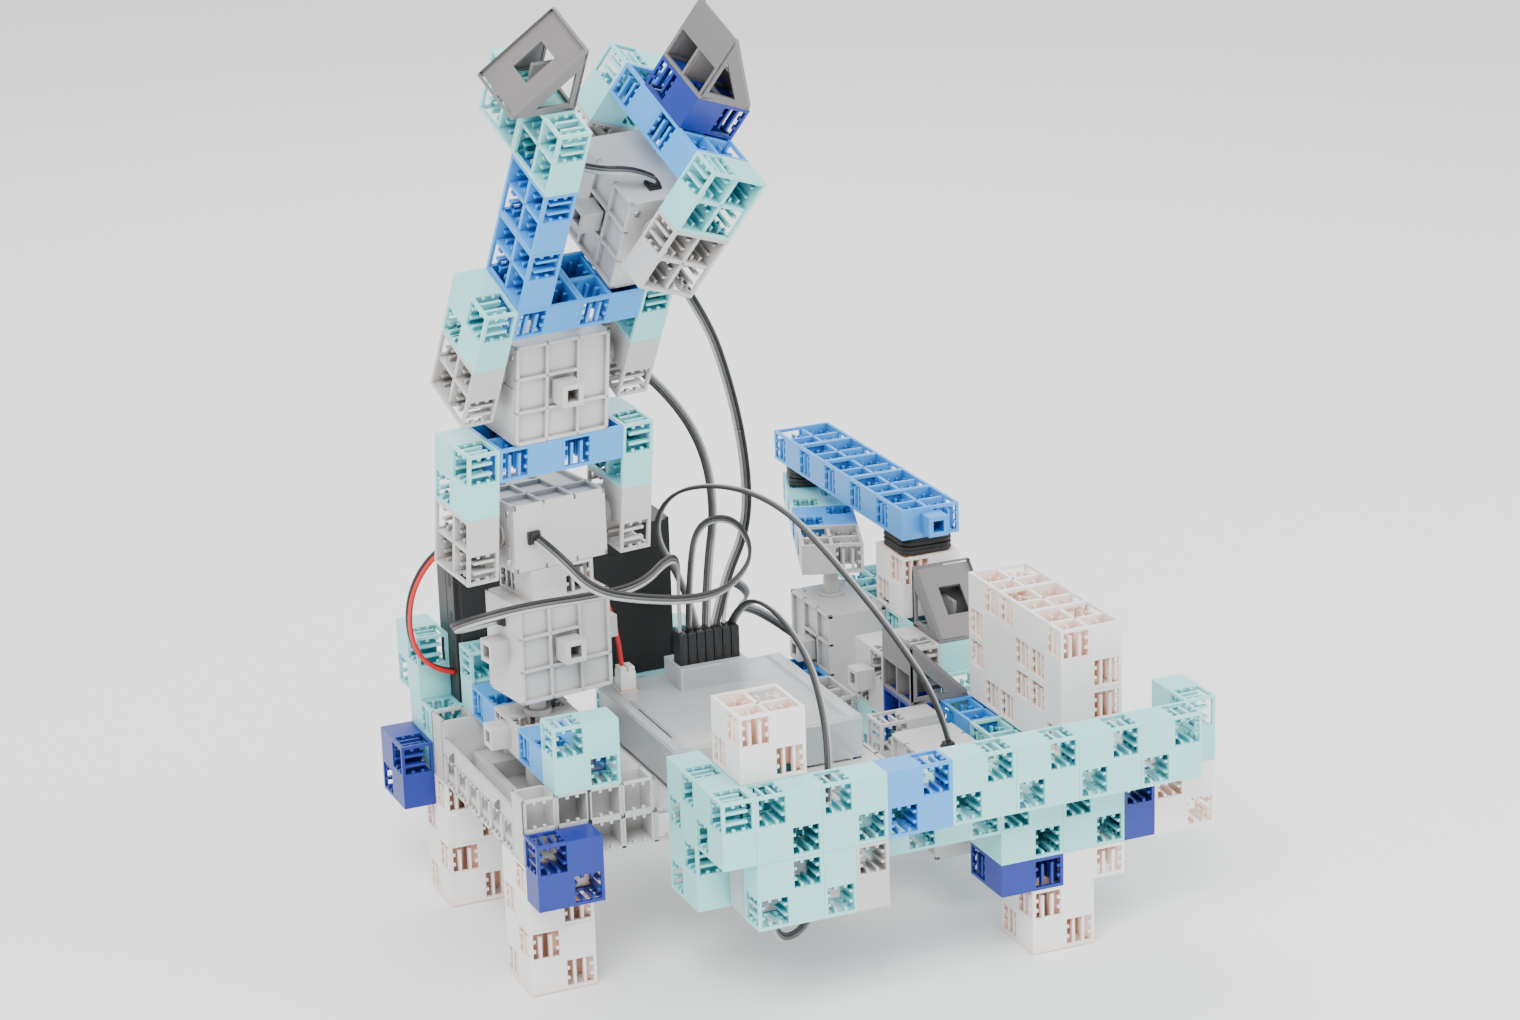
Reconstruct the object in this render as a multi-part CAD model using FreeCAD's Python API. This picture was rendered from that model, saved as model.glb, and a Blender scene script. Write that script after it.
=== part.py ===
"""Classroom robot arm kit built from square-peg blocks, hobby servos and a controller box.

Every block sits on a cubic grid. Positions are given in grid cells and turned into millimetres
by CELL. +Z is up, the floor is Z = 0, X runs along the front bar and Y runs towards the back.
"""
import FreeCAD, Part
import math
import os

# ---- driving dimensions (mm) ----
CELL = 10.0          # grid pitch: a cube block is two cells each way
GAP = 0.03           # clearance left around each block, so that neighbours never overlap
WALL = 1.0           # outer wall of a block
WEB = 1.2            # inner cross wall of a block
WINDOW = 8.0         # square window in a block's side
PEG = 6.7            # outer width of the square hollow peg
PEG_HOLE = 3.6       # hole through the peg
PEG_LENGTH = 6.0     # how far a peg stands out of its block
NECK = 7.0           # gap between the yaw servo's case and the block on its shaft
FEED_NECK = 10.0     # the same gap on the feeder servo, which puts its crank on the grid
GATE_NECK = 7.0      # the same gap on the gate servo
YOKE_NECK = 5.0      # the same gap on each side of a servo inside a yoke
SHAFT_EDGE = 1.0     # cells from a servo's lead side to its shaft
SHAFT_RADIUS = 3.0   # output boss of a servo
PIN_RADIUS = 2.5     # output shaft, and the idler pin on a yoke's other side
PIN_PLAY = 0.05      # radial clearance of a pin in its bore
PIN_DEPTH = 3.0      # how far a pin reaches into its servo
RING_HEIGHT = 3.0    # rubber ring between two turning blocks
LEAD_RADIUS = 1.1    # servo lead, as a round cord
WIRE_RADIUS = 0.7    # one wire of the battery lead
RELIEF = 2.2         # how far a servo's strain relief stands out

# ---- rest pose ----
LOWER_TILT = 7.0     # forward tilt of the lower yoke, degrees
UPPER_TILT = 20.5    # forward tilt of the upper yoke from the lower one, degrees
JAW_OPEN = 22.0      # moving jaw from upright, degrees
REST_YAW = 9.0       # turntable, degrees
CRANK_LENGTH = 6.0   # cells, shaft to ring
CRANK_OFFSET = 2.0   # cells, sideways distance of the ring from the shaft at rest

# ---- layout (cells) ----
PLUG_X = 7.16      # first lead plug's side
PLUG_PITCH = 0.28  # plug to plug
SPAN_X = (-1.0, 20.0)                 # left block to the bar's right end
BAR = (5.0, -5.0)                     # front left corner of the bar's first block
CRANK_ANGLE = math.asin(CRANK_OFFSET / CRANK_LENGTH)
FEEDER_SHAFT = (BAR[0] + 10.0, BAR[1] + 17.0)
RING_CENTRE = (FEEDER_SHAFT[0] + CRANK_OFFSET,
               FEEDER_SHAFT[1] + CRANK_LENGTH * math.cos(CRANK_ANGLE))
CRANK_END = (CRANK_LENGTH + 1.0) * math.cos(CRANK_ANGLE) + math.sin(CRANK_ANGLE)
SPAN_Y = (BAR[1], FEEDER_SHAFT[1] + CRANK_END)  # front of the bar to the crank's far corner
CENTRE = ((SPAN_X[0] + SPAN_X[1]) / 2, (SPAN_Y[0] + SPAN_Y[1]) / 2)
YAW_AXIS = (2.0, 4.0)                 # turntable shaft
GATE_X = 13.5                         # gate shaft, half a cell off so that its horn clears the deck
SERVO_1_FOOT = 7.0 + NECK / CELL      # underside of the yaw servo
SERVO_2_FOOT = SERVO_1_FOOT + 4.0     # underside of the lower tilt servo
LOWER_AXIS = SERVO_2_FOOT + 1.0       # height of the lower tilt axis
SERVO_RISE = 3.0 - SHAFT_EDGE         # from a servo's foot to its shaft
UPPER_AXIS = LOWER_AXIS + 3.0 + SERVO_RISE    # height of the upper tilt axis before tilting
JAW_AXIS = UPPER_AXIS + 3.0 + SERVO_RISE      # height of the jaw axis before tilting
YOKE_MIDDLE = YAW_AXIS[0] - SHAFT_EDGE + 1.5  # middle of both yokes, in X
JAW_X = YOKE_MIDDLE + 2.0
JAW_FACE = YAW_AXIS[1] - 0.75                 # front of the jaw servo's case
JAW_FRONT = YAW_AXIS[1] - 2.4                 # front of the jaw's yoke, which is six cells deep

PARTS = "parts"


def vector(x, y, z):
    """Point given in grid cells, as a FreeCAD vector in the part's frame."""
    return FreeCAD.Vector((x - CENTRE[0]) * CELL, (y - CENTRE[1]) * CELL, z * CELL)


def box(low, high, inset=0.0):
    """Box between two corners in cells, pulled in by inset millimetres on every side."""
    size = [(high[i] - low[i]) * CELL - 2 * inset for i in range(3)]
    corner = vector(*low) + FreeCAD.Vector(inset, inset, inset)
    return Part.makeBox(size[0], size[1], size[2], corner)


def span_box(centre, half):
    """Box from its centre (cells) and half sizes (mm)."""
    low = vector(*centre) - FreeCAD.Vector(*half)
    return Part.makeBox(2 * half[0], 2 * half[1], 2 * half[2], low)


def unit(axis, sign=1):
    """Unit vector along one of the axes 0, 1, 2."""
    values = [0.0, 0.0, 0.0]
    values[axis] = float(sign)
    return values


def peg(centre, axis, sign):
    """Square hollow peg that stands out of a block face at centre (cells)."""
    half = [PEG / 2] * 3
    half[axis] = PEG_LENGTH / 2
    hole = [PEG_HOLE / 2] * 3
    hole[axis] = PEG_LENGTH
    middle = [centre[i] + unit(axis, sign)[i] * (PEG_LENGTH / 2 + GAP - 0.1) / CELL for i in range(3)]
    return span_box(middle, half).cut(span_box(middle, hole))


def block(low, size, open_axis=2, open_sign=1, pegs=()):
    """Hollow block: one cavity per cell, open on one face, with two diagonal windows a side."""
    high = [low[i] + size[i] for i in range(3)]
    body = box(low, high, GAP)
    others = [i for i in range(3) if i != open_axis]
    cavity = (CELL - WALL - WEB / 2) / 2
    shift = (WALL - WEB / 2) / 2 / CELL
    depth = size[open_axis] * CELL - WALL
    cuts = []
    for a in range(size[others[0]]):
        for b in range(size[others[1]]):
            centre = [0.0, 0.0, 0.0]
            half = [0.0, 0.0, 0.0]
            for axis, index in ((others[0], a), (others[1], b)):
                last = size[axis] - 1
                side = (1 if index == 0 else 0) - (1 if index == last else 0)
                centre[axis] = low[axis] + index + 0.5 + side * shift
                half[axis] = cavity if last else cavity - 0.1
            middle = (low[open_axis] + high[open_axis]) / 2 + open_sign * (WALL / 2 + 0.5) / CELL
            centre[open_axis] = middle
            half[open_axis] = (depth + 1.0) / 2
            cuts.append(span_box(centre, half))
    for axis in range(3):
        across = [i for i in range(3) if i != axis]
        if axis == open_axis:
            continue
        for sign in (-1, 1):
            for a in range(size[across[0]]):
                for b in range(size[across[1]]):
                    if (a + b) % 2 != (0 if sign > 0 else 1) and size[across[0]] * size[across[1]] > 1:
                        continue
                    centre = [0.0, 0.0, 0.0]
                    half = [(WINDOW - 0.4) / 2] * 3
                    centre[across[0]] = low[across[0]] + a + 0.5
                    centre[across[1]] = low[across[1]] + b + 0.5
                    centre[axis] = high[axis] if sign > 0 else low[axis]
                    half[axis] = WALL
                    cuts.append(span_box(centre, half))
    solid = body.cut(cuts)
    for peg_centre, peg_axis, peg_sign in pegs:
        solid = solid.fuse(peg(peg_centre, peg_axis, peg_sign))
    return solid.removeSplitter()


def wedge(low, size, along, corner):
    """Triangular block: a hollow prism along one axis, with its right angle at the foot.

    corner is -1 or 1: the side of the foot, across the prism, where the right angle stands.
    """
    across = 1 if along == 0 else 0
    inset = GAP / CELL
    near, far = low[across] + inset, low[across] + size[across] - inset
    foot, top = low[2] + inset, low[2] + size[2] - inset
    upright = near if corner < 0 else far
    corners = [(near, foot), (far, foot), (upright, top)]
    middle = (sum(c[0] for c in corners) / 3, sum(c[1] for c in corners) / 3)

    def prism(points, start, end):
        loop = []
        for p in points:
            place = [0.0, 0.0, p[1]]
            place[across] = p[0]
            place[along] = start
            loop.append(vector(*place))
        face = Part.Face(Part.makePolygon(loop + [loop[0]]))
        travel = [0.0, 0.0, 0.0]
        travel[along] = (end - start) * CELL
        return face.extrude(FreeCAD.Vector(*travel))

    shrink = 0.62
    inner = [(middle[0] + (c[0] - middle[0]) * shrink, middle[1] + (c[1] - middle[1]) * shrink)
             for c in corners]
    start, end = low[along] + inset, low[along] + size[along] - inset
    half_wall = WALL / CELL / 2
    centre = (start + end) / 2
    solid = prism(corners, start, end)
    solid = solid.cut([prism(inner, start + 2 * half_wall, centre - half_wall),
                       prism(inner, centre + half_wall, end - 2 * half_wall)])
    for offset in (-0.5, 0.5):
        place = [0.0, 0.0, foot]
        place[across] = upright + (-corner) * 0.55
        place[along] = centre + offset
        solid = solid.cut(span_box(place, (3.2, 3.2, 5.0)))
    return solid


def servo(corner, shaft, thick, out, shaft_sign, lead_shift, peg_faces, idler=False):
    """Servo case and its core.

    corner is the low corner of the case, shaft the axis index of the output shaft, thick the
    axis of its two-cell side, and out the axis and sign of the side that the lead leaves, which
    is SHAFT_EDGE cells from the shaft. lead_shift moves the lead's exit along the shaft.
    peg_faces lists axis and sign of the faces that carry a peg.
    """
    size = [3, 3, 3]
    size[thick] = 2
    high = [corner[i] + size[i] for i in range(3)]
    centre = [(corner[i] + high[i]) / 2 for i in range(3)]
    out_axis, out_sign = out
    edge = high[out_axis] if out_sign > 0 else corner[out_axis]
    hollow_half = [(size[i] * CELL) / 2 - 2.2 for i in range(3)]
    case = box(corner, high, GAP).cut(span_box(centre, hollow_half))
    lead_point = list(centre)
    lead_point[out_axis] = edge
    lead_point[shaft] = centre[shaft] + lead_shift
    lead_half = [2.2, 2.2, 2.2]
    lead_half[out_axis] = 3.0
    cuts = [span_box(lead_point, lead_half)]
    across = [i for i in range(3) if i != thick]
    for sign in (-1, 1):
        for a in (-1, 0, 1):
            for b in (-1, 0, 1):
                pocket = list(centre)
                pocket[across[0]] += a * 0.98
                pocket[across[1]] += b * 0.98
                pocket[thick] = high[thick] if sign > 0 else corner[thick]
                half = [4.1, 4.1, 4.1]
                half[thick] = 1.2
                if a or b:
                    cuts.append(span_box(pocket, half))
    core = span_box(centre, [h - 0.4 for h in hollow_half])
    for sign in (-1, 1) if idler else (shaft_sign,):
        mouth = list(centre)
        mouth[out_axis] = edge - out_sign * SHAFT_EDGE
        mouth[shaft] = high[shaft] if sign > 0 else corner[shaft]
        direction = FreeCAD.Vector(*unit(shaft, sign))
        start = vector(*mouth)
        cuts.append(Part.makeCylinder(SHAFT_RADIUS + 1.3, 8.0, start - direction * 4.0, direction))
        core = core.fuse(Part.makeCylinder(SHAFT_RADIUS + 1.2, 3.8, start - direction * 3.0, direction))
        bore = Part.makeCylinder(PIN_RADIUS + PIN_PLAY, PIN_DEPTH + 2.0,
                                 start - direction * (PIN_DEPTH + 0.3), direction)
        core = core.cut(bore)
    case = case.cut(cuts)
    for axis, sign in peg_faces:
        face = list(centre)
        face[axis] = high[axis] if sign > 0 else corner[axis]
        case = case.fuse(peg(face, axis, sign))
    relief_half = [1.9, 1.9, 1.9]
    relief_half[out_axis] = RELIEF
    core = core.fuse(span_box(lead_point, relief_half))
    return case.removeSplitter(), core.removeSplitter()


def horn(low, size, axis, sign, neck):
    """Block on a servo's shaft, with the shaft standing out of its face along axis and sign.

    neck is the gap (mm) between the block and the servo.
    """
    body = block(low, size, axis, -sign)
    face = [low[i] + size[i] / 2 for i in range(3)]
    face[axis] = low[axis] + (size[axis] if sign > 0 else 0)
    direction = FreeCAD.Vector(*unit(axis, sign))
    start = vector(*face) - direction * (WALL / 2)
    pin = Part.makeCylinder(PIN_RADIUS, neck + PIN_DEPTH + WALL / 2, start, direction)
    collar = Part.makeCylinder(SHAFT_RADIUS + 1.0, WALL / 2 + 1.5, start, direction)
    return body.fuse([pin, collar]).removeSplitter()


def ring(x, y, z):
    """Flat rubber ring with rounded corners, a little under two cells wide."""
    outer = box((x - 0.92, y - 0.92, z), (x + 0.92, y + 0.92, z + RING_HEIGHT / CELL), 0.02)
    upright = [e for e in outer.Edges if e.BoundBox.ZLength > RING_HEIGHT / 2]
    hole = Part.makeCylinder(5.0, RING_HEIGHT, vector(x, y, z))
    return outer.makeFillet(4.0, upright).cut(hole)


def tube(points, radius, label):
    """Round cord along straight runs joined by tangent arcs; points are in millimetres."""
    edges = []
    radii = []
    start = points[0]
    for before, corner, after in zip(points, points[1:], points[2:]):
        back = (before - corner)
        onward = (after - corner)
        half_turn = (math.pi - back.getAngle(onward)) / 2
        reach = 0.45 * min(back.Length, onward.Length)
        bend = reach / math.tan(half_turn)
        radii.append(bend)
        back.normalize()
        onward.normalize()
        first = corner + back * reach
        last = corner + onward * reach
        inward = (back + onward).normalize()
        middle = corner + inward * (math.hypot(bend, reach) - bend)
        edges.append(Part.LineSegment(start, first).toShape())
        edges.append(Part.Arc(first, middle, last).toShape())
        start = last
    edges.append(Part.LineSegment(start, points[-1]).toShape())
    length = sum(e.Length for e in edges)
    profile = Part.Wire(Part.makeCircle(radius, points[0], points[1] - points[0]))
    solid = Part.Wire(edges).makePipeShell([profile], True, True)
    error = solid.Volume / (math.pi * radius ** 2 * length) - 1
    print("%-12s length %.0f mm, radii %s, volume error %.4f"
          % (label, length, " ".join("%.0f" % r for r in radii), error))
    return solid


def turned(shapes, centre, axis, angle):
    """Copies of shapes turned about an axis through centre (cells)."""
    result = []
    for shape in shapes:
        copy = shape.copy()
        copy.rotate(vector(*centre), axis, angle)
        result.append(copy)
    return result


def save(name, shapes):
    """Write one node: a group of separate solids."""
    solids = []
    for shape in shapes:
        solids.extend(shape.Solids)
    Part.makeCompound(solids).exportStep(os.path.join(PARTS, name + ".step"))


def swing(shapes):
    """Copies of shapes of the turntable, turned to the rest pose."""
    return turned(shapes, (YAW_AXIS[0], YAW_AXIS[1], 0), FreeCAD.Vector(0, 0, 1), REST_YAW)


def tilt(shapes, level):
    """Copies of shapes of the upright arm, moved with their yoke.

    level 1 is the lower yoke, which carries the upper one, level 2.
    """
    across = FreeCAD.Vector(1, 0, 0)
    hub = (YOKE_MIDDLE, YAW_AXIS[1], UPPER_AXIS)
    if level == 2:
        shapes = turned(shapes, hub, across, UPPER_TILT)
    return swing(turned(shapes, (hub[0], hub[1], LOWER_AXIS), across, LOWER_TILT))


def place(point):
    """Cord point in millimetres, from cells and the level of the arm it moves with.

    Level 2 is the upper yoke, 1 the lower yoke, 0 the turntable and None the table.
    """
    x, y, z, level = point
    spot = vector(x, y, z)
    hub = FreeCAD.Vector(vector(YOKE_MIDDLE, YAW_AXIS[1], 0))
    for step, height, angle in ((2, UPPER_AXIS, UPPER_TILT), (1, LOWER_AXIS, LOWER_TILT)):
        if level is not None and level >= step:
            hub.z = height * CELL
            spot = FreeCAD.Rotation(FreeCAD.Vector(1, 0, 0), angle).multVec(spot - hub) + hub
    if level is not None:
        hub = vector(YAW_AXIS[0], YAW_AXIS[1], 0)
        spot = FreeCAD.Rotation(FreeCAD.Vector(0, 0, 1), REST_YAW).multVec(spot - hub) + hub
    return spot


def sections(points, cuts):
    """Runs of a cord's points, split halfway along the runs that start at the points in cuts."""
    spots = [place(p) for p in points]
    parts = []
    head = []
    first = 0
    for cut in cuts:
        middle = (spots[cut] + spots[cut + 1]) / 2
        parts.append(head + spots[first:cut + 1] + [middle])
        head = [middle]
        first = cut + 1
    parts.append(head + spots[first:])
    return parts


def on_bar(x, y, z):
    """Cell of the bar's own grid, in the part's cells."""
    return (BAR[0] + x, BAR[1] + y, z)


def bar_blocks(places, size, open_axis, open_sign):
    """Equal blocks at places of the bar's grid."""
    return [block(on_bar(*p), size, open_axis, open_sign) for p in places]


def controller():
    """Grey frame, clear cover, circuit board and plugs of the controller box."""
    frame = box((0, 0, 4), (11.5, 8, 5), GAP).fuse(box((0, 0, 5 - GAP / CELL), (4, 8, 6), GAP))
    trough = box((0.15, 1.1, 4.35), (3.0, 6.9, 6.2))
    lowered = box((-0.2, 1.0, 5.45), (0.4, 7.0, 6.2))
    towers = [box((x + 0.12, y + 0.12, 4.12), (x + 0.94, y + 0.88, 6.2))
              for x in range(4) for y in (0, 7)]
    under = box((4.1, 0.15, 3.9), (11.35, 7.85, 4.85))
    seats = box((4.9, 0.9, 4.5), (10.9, 7.1, 5.2))
    frame = frame.cut([trough, lowered, under, seats] + towers)
    openings = []
    for column in range(4):
        for row in (4, 5):
            openings.append(span_box((column + 0.5, 0, row + 0.5), (4.0, 3.0, 3.8)))
            openings.append(span_box((column + 0.5, 8, row + 0.5), (4.0, 3.0, 3.8)))
    for column in range(4, 11):
        openings.append(span_box((column + 0.5, 0, 4.45), (3.9, 3.0, 3.0)))
        openings.append(span_box((column + 0.5, 8, 4.45), (3.9, 3.0, 3.0)))
    for y in (1.5, 3.5, 4.5, 6.5):
        openings.append(span_box((0, y, 4.75), (3.0, 2.6, 3.2)))
    frame = frame.cut(openings)
    cover = box((5, 1, 5), (11, 7, 6.3), GAP).fuse(box((7, 5.2, 6.2), (9.2, 6.6, 7.0), GAP))
    cover = cover.cut([box((5.15, 1.15, 4.9), (10.85, 6.85, 6.15)),
                       box((7.05, 5.35, 6.0), (9.15, 6.45, 6.85)),
                       box((7.05, 5.5, 6.5), (9.15, 6.3, 7.2)),
                       box((5.35, 1.6, 6.0), (5.5, 5.4, 6.5)),
                       box((5.3, 5.95, 6.0), (5.95, 6.65, 6.5))])
    board = box((5.3, 1.3, 5.25), (10.7, 6.7, 5.41))
    sockets = [box((7.1, 5.55, 5.41), (9.1, 6.25, 6.3)), box((5.35, 6.0, 5.41), (5.9, 6.6, 6.3)),
               box((7.0, 2.2, 5.41), (8.6, 3.8, 5.7)), box((9.3, 2.0, 5.41), (10.2, 4.6, 5.9))]
    for socket in sockets:
        board = board.fuse(socket)
    ledge = box((4.9, 0.9, 5.0), (11, 7.1, 5.25))
    frame = frame.fuse(ledge.cut(box((5.15, 1.15, 4.9), (10.85, 6.85, 5.3))).cut(
        box((4.99, 0.99, 4.9), (11.2, 7.01, 5.3))))
    plugs = [box((PLUG_X + i * PLUG_PITCH, 5.62, 6.32), (PLUG_X + i * PLUG_PITCH + 0.26, 6.18, 7.95))
             for i in range(7)]
    battery_plug = box((5.38, 6.05, 6.32), (5.87, 6.55, 7.05))
    return frame, cover, board.removeSplitter(), plugs, battery_plug


os.makedirs(PARTS, exist_ok=True)

frame, cover, board, plugs, battery_plug = controller()
save("controller_frame", [frame])
save("controller_cover", [cover])
save("controller_board", [board])
save("lead_plugs", plugs)
save("battery_plug", [battery_plug])

# battery box with its three cells
BATTERY = ((1.0, 8.1, 6.0), (8.0, 9.9, 10.8))
shell = box(BATTERY[0], BATTERY[1], GAP)
shell = shell.makeFillet(1.5, [e for e in shell.Edges if e.BoundBox.ZLength > 30])
shell = shell.cut(box([v + 0.18 for v in BATTERY[0]], [v - 0.18 for v in BATTERY[1]]))
save("battery_box", [shell])
cells = []
for i in range(3):
    start = vector(BATTERY[0][0] + 0.9, 9.0, 6.93 + i * 1.47)
    cells.append(Part.makeCylinder(6.8, 50.5, start, FreeCAD.Vector(1, 0, 0)))
save("battery_cells", cells)

# blocks of the left group
CUBE, FLAT, TALL, SIDE = (2, 2, 2), (2, 2, 1), (2, 1, 2), (1, 2, 2)
save("leg_cubes", [block((0, y, z), CUBE, 2, 1) for y in (0, 7) for z in (0, 2)]
     + [block(on_bar(9, 1, 0), CUBE, 2, 1)])
save("side_half_blocks", [block((0, -1, 3), TALL, 1, 1), block((-1, 8, 3), SIDE, 0, 1)])
save("base_half_blocks", [block((1, 0, 6), TALL, 1, 1), block((1, 7, 6), TALL, 1, -1),
                          block((1, 1, 6), FLAT, 2, -1), block((1, 5, 6), FLAT, 2, -1)])
horn_peg = peg((1.0, 4.0, 6.5), 0, -1)
save("yaw_horn_block", [horn((1, 3, 6), FLAT, 2, 1, NECK).fuse(horn_peg)])
save("battery_stand_blocks", [block((0, 8, 4), CUBE, 2, -1), block((6, 8, 4), CUBE, 2, -1),
                              block((8, 8, 5), SIDE, 0, -1), block((0, 9, 6), SIDE, 0, 1)])

# front bar
save("bar_front_half_blocks", bar_blocks([(2 * i, 0, 5) for i in range(7)], TALL, 1, 1))
save("bar_end_half_blocks", bar_blocks([(-1, 0, 5), (-1, 2, 5), (-1, 2, 3), (14, 1, 5)], SIDE, 0, 1))
save("bar_lower_half_blocks", bar_blocks([(0, 0, 3), (8, 1, 3), (10, 1, 3), (13, 1, 3),
                                         (4, 1, 4), (6, 1, 4)], TALL, 1, 1))
save("bar_narrow_blocks", bar_blocks([(2, 0, 3), (3, 0, 3), (12, 1, 3)], (1, 1, 2), 1, 1))
save("bar_foot_half_blocks", bar_blocks([(8, 1, 2), (10, 1, 2)], FLAT, 2, 1))
save("payload_stand_cubes", bar_blocks([(0, 1, 5), (0, 3, 4)], CUBE, 2, 1))
save("payload_cube", bar_blocks([(0, 1, 7)], CUBE, 2, 1))
save("sensor_block", [box(on_bar(0, 1, 3), on_bar(2, 2, 5), GAP).cut(
    box(on_bar(0.2, 1.2, 3.2), on_bar(1.8, 1.8, 4.8)))])

# store and feeder decks
deck = [(x, y, 4) for x in (15, 17) for y in (-2, 0, 2)] + [(16, 4, 4)]
save("deck_half_blocks", [block(p, FLAT, 2, 1) for p in deck] + [block((15, -3, 3), TALL, 1, 1)])
save("feeder_deck_half_blocks", [block((16, y, 5), FLAT, 2, 1) for y in (6, 8, 10, 12)])
save("deck_stand_cubes", [block(p, CUBE, 2, 1) for p in ((15, 0, 2), (13, -3, 3), (14, 6, 2),
                                                         (16, 10, 3))])
save("store_cubes", [block((16, y, z), CUBE, 2, 1) for y in (-2, 0, 2) for z in (5, 7)])
save("guide_wedge", [wedge((16, 6, 6), CUBE, 0, 1)])
save("gate_stop_blocks", [block((14, 6, 4), SIDE, 0, 1, [((14, 7, 5), 0, -1)]),
                          block((15, 6, 4), SIDE, 0, -1)])
save("feeder_side_half_blocks", [block((12, y, z), FLAT, 2, 1) for y, z in ((10, 3), (8, 3), (4, 2))])
save("feeder_leg_blocks", [block((14, 10, 0), CUBE, 2, 1), block((14, 10, 2), FLAT, 2, 1),
                           block((14, 8, 2), FLAT, 2, 1)])

# feeder: servo, crank, rod and slider
shaft_x, shaft_y = FEEDER_SHAFT
feeder = servo((shaft_x - 1, shaft_y - 3 + SHAFT_EDGE, 3), 2, 0, (1, 1), 1, -0.9, [(0, -1)])
up = FreeCAD.Vector(0, 0, 1)
crank_turn = -math.degrees(CRANK_ANGLE)
hub = (shaft_x, shaft_y, 7)
crank_horn = horn((shaft_x - 1, shaft_y - 1, 7), FLAT, 2, -1, FEED_NECK)
save("crank_horn_block", turned([crank_horn], hub, up, crank_turn))
crank = [block((shaft_x - 1, shaft_y - 1 + step, 7), FLAT, 2, -1) for step in (2, 4, 6)]
save("crank_half_blocks", turned(crank, hub, up, crank_turn))
ring_x, ring_y = RING_CENTRE
rod_foot = 8 + 2 * RING_HEIGHT / CELL
rings = [ring(ring_x, ring_y, 8 + i * RING_HEIGHT / CELL) for i in (0, 1)]
save("crank_rings", turned(rings, (ring_x, ring_y, 8), up, crank_turn))
save("slider_rings", [ring(ring_x, ring_y - 8, 8 + i * RING_HEIGHT / CELL) for i in (0, 1)])
rod = [block((ring_x - 1, ring_y - 1 - 2 * i, rod_foot), FLAT, 2, 1) for i in range(4)]
rod_peg = [((ring_x, ring_y - 9, rod_foot + 0.5), 1, -1)]
rod.append(block((ring_x - 1, ring_y - 9, rod_foot), FLAT, 2, 1, rod_peg))
save("rod_half_blocks", rod)
save("slider_cube", [block((ring_x - 1, ring_y - 9, 6), CUBE, 2, -1)])

# gate: servo, horn, blocks and wedge
gate = servo((GATE_X - 1, -GATE_NECK / CELL, 2), 1, 0, (2, 1), 1, -0.4, [(0, -1)])
save("gate_horn_block", [horn((GATE_X - 1, 3, 3), TALL, 1, -1, GATE_NECK)])
save("gate_half_block", [block((14, 4, 3), SIDE, 0, -1)])
save("gate_wedge", [wedge((14, 4, 5), CUBE, 1, -1)])
save("fixed_servo_cases", [feeder[0], gate[0]])
save("fixed_servo_cores", [feeder[1], gate[1]])

# turntable: yaw servo, spacer and lower tilt servo
left = YAW_AXIS[0] - SHAFT_EDGE
front = YAW_AXIS[1] - 1
yaw = servo((left, front, SERVO_1_FOOT), 2, 1, (0, -1), -1, 0.9, [(0, -1), (0, 1), (1, -1)])
low_tilt = servo((left, front, SERVO_2_FOOT), 0, 2, (1, -1), -1, -0.9, [(1, 1)], True)
save("turntable_servo_cases", swing([yaw[0], low_tilt[0]]))
save("turntable_servo_cores", swing([yaw[1], low_tilt[1]]))
save("turntable_spacer_block", swing([block((left + 0.5, front, SERVO_1_FOOT + 3), FLAT, 2, 1)]))


def yoke(axis_height):
    """Horn blocks and half blocks of one upright yoke around a servo."""
    sides = ((YOKE_MIDDLE - 3, 1), (YOKE_MIDDLE + 2, -1))
    horns = [horn((x, front, axis_height - 1), SIDE, 0, sign, YOKE_NECK) for x, sign in sides]
    halves = [block((x, front, axis_height + 1), SIDE, 0, -sign) for x, sign in sides]
    halves += [block((x, front, axis_height + 2), FLAT, 2, 1)
               for x in (YOKE_MIDDLE - 2, YOKE_MIDDLE)]
    return horns, halves


# lower yoke with the upper tilt servo
horns, halves = yoke(LOWER_AXIS)
save("lower_yoke_horn_blocks", tilt(horns, 1))
save("lower_yoke_half_blocks", tilt(halves, 1))
high_tilt = servo((left, front, LOWER_AXIS + 3), 0, 1, (2, 1), -1, 0.9, [(1, -1)], True)
save("upper_tilt_servo_case", tilt(high_tilt[:1], 1))
save("upper_tilt_servo_core", tilt(high_tilt[1:], 1))

# upper yoke with the fixed finger and the jaw servo
horns, halves = yoke(UPPER_AXIS)
save("upper_yoke_horn_blocks", tilt(horns, 2))
save("upper_yoke_half_blocks", tilt(halves, 2))
bridge = UPPER_AXIS + 3
finger_x = YOKE_MIDDLE - 2
finger = [block((finger_x, front, bridge + z), SIDE, 0, -1) for z in (0, 2, 4)]
finger.append(block((finger_x, front + 2, bridge + 4), SIDE, 0, -1))
save("fixed_finger_blocks", tilt(finger, 2))
save("fixed_finger_wedge", tilt([wedge((finger_x - 1, front + 1, bridge + 6), CUBE, 1, 1)], 2))
jaw_servo = servo((JAW_X - 1, JAW_FACE, bridge), 1, 0, (2, 1), -1, -0.9, [(0, -1)], True)
save("jaw_servo_case", tilt(jaw_servo[:1], 2))
save("jaw_servo_core", tilt(jaw_servo[1:], 2))

# moving jaw
jaw_hub = (JAW_X, JAW_FACE, JAW_AXIS)
along = FreeCAD.Vector(0, 1, 0)
jaw_left = JAW_X - 1
neck_front = (JAW_FACE - JAW_FRONT - 1) * CELL
neck_back = (JAW_FRONT + 2 - JAW_FACE) * CELL


def jaw(shapes):
    """Copies of shapes of the upright jaw, opened and tilted to the rest pose."""
    return tilt(turned(shapes, jaw_hub, along, JAW_OPEN), 2)


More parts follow.
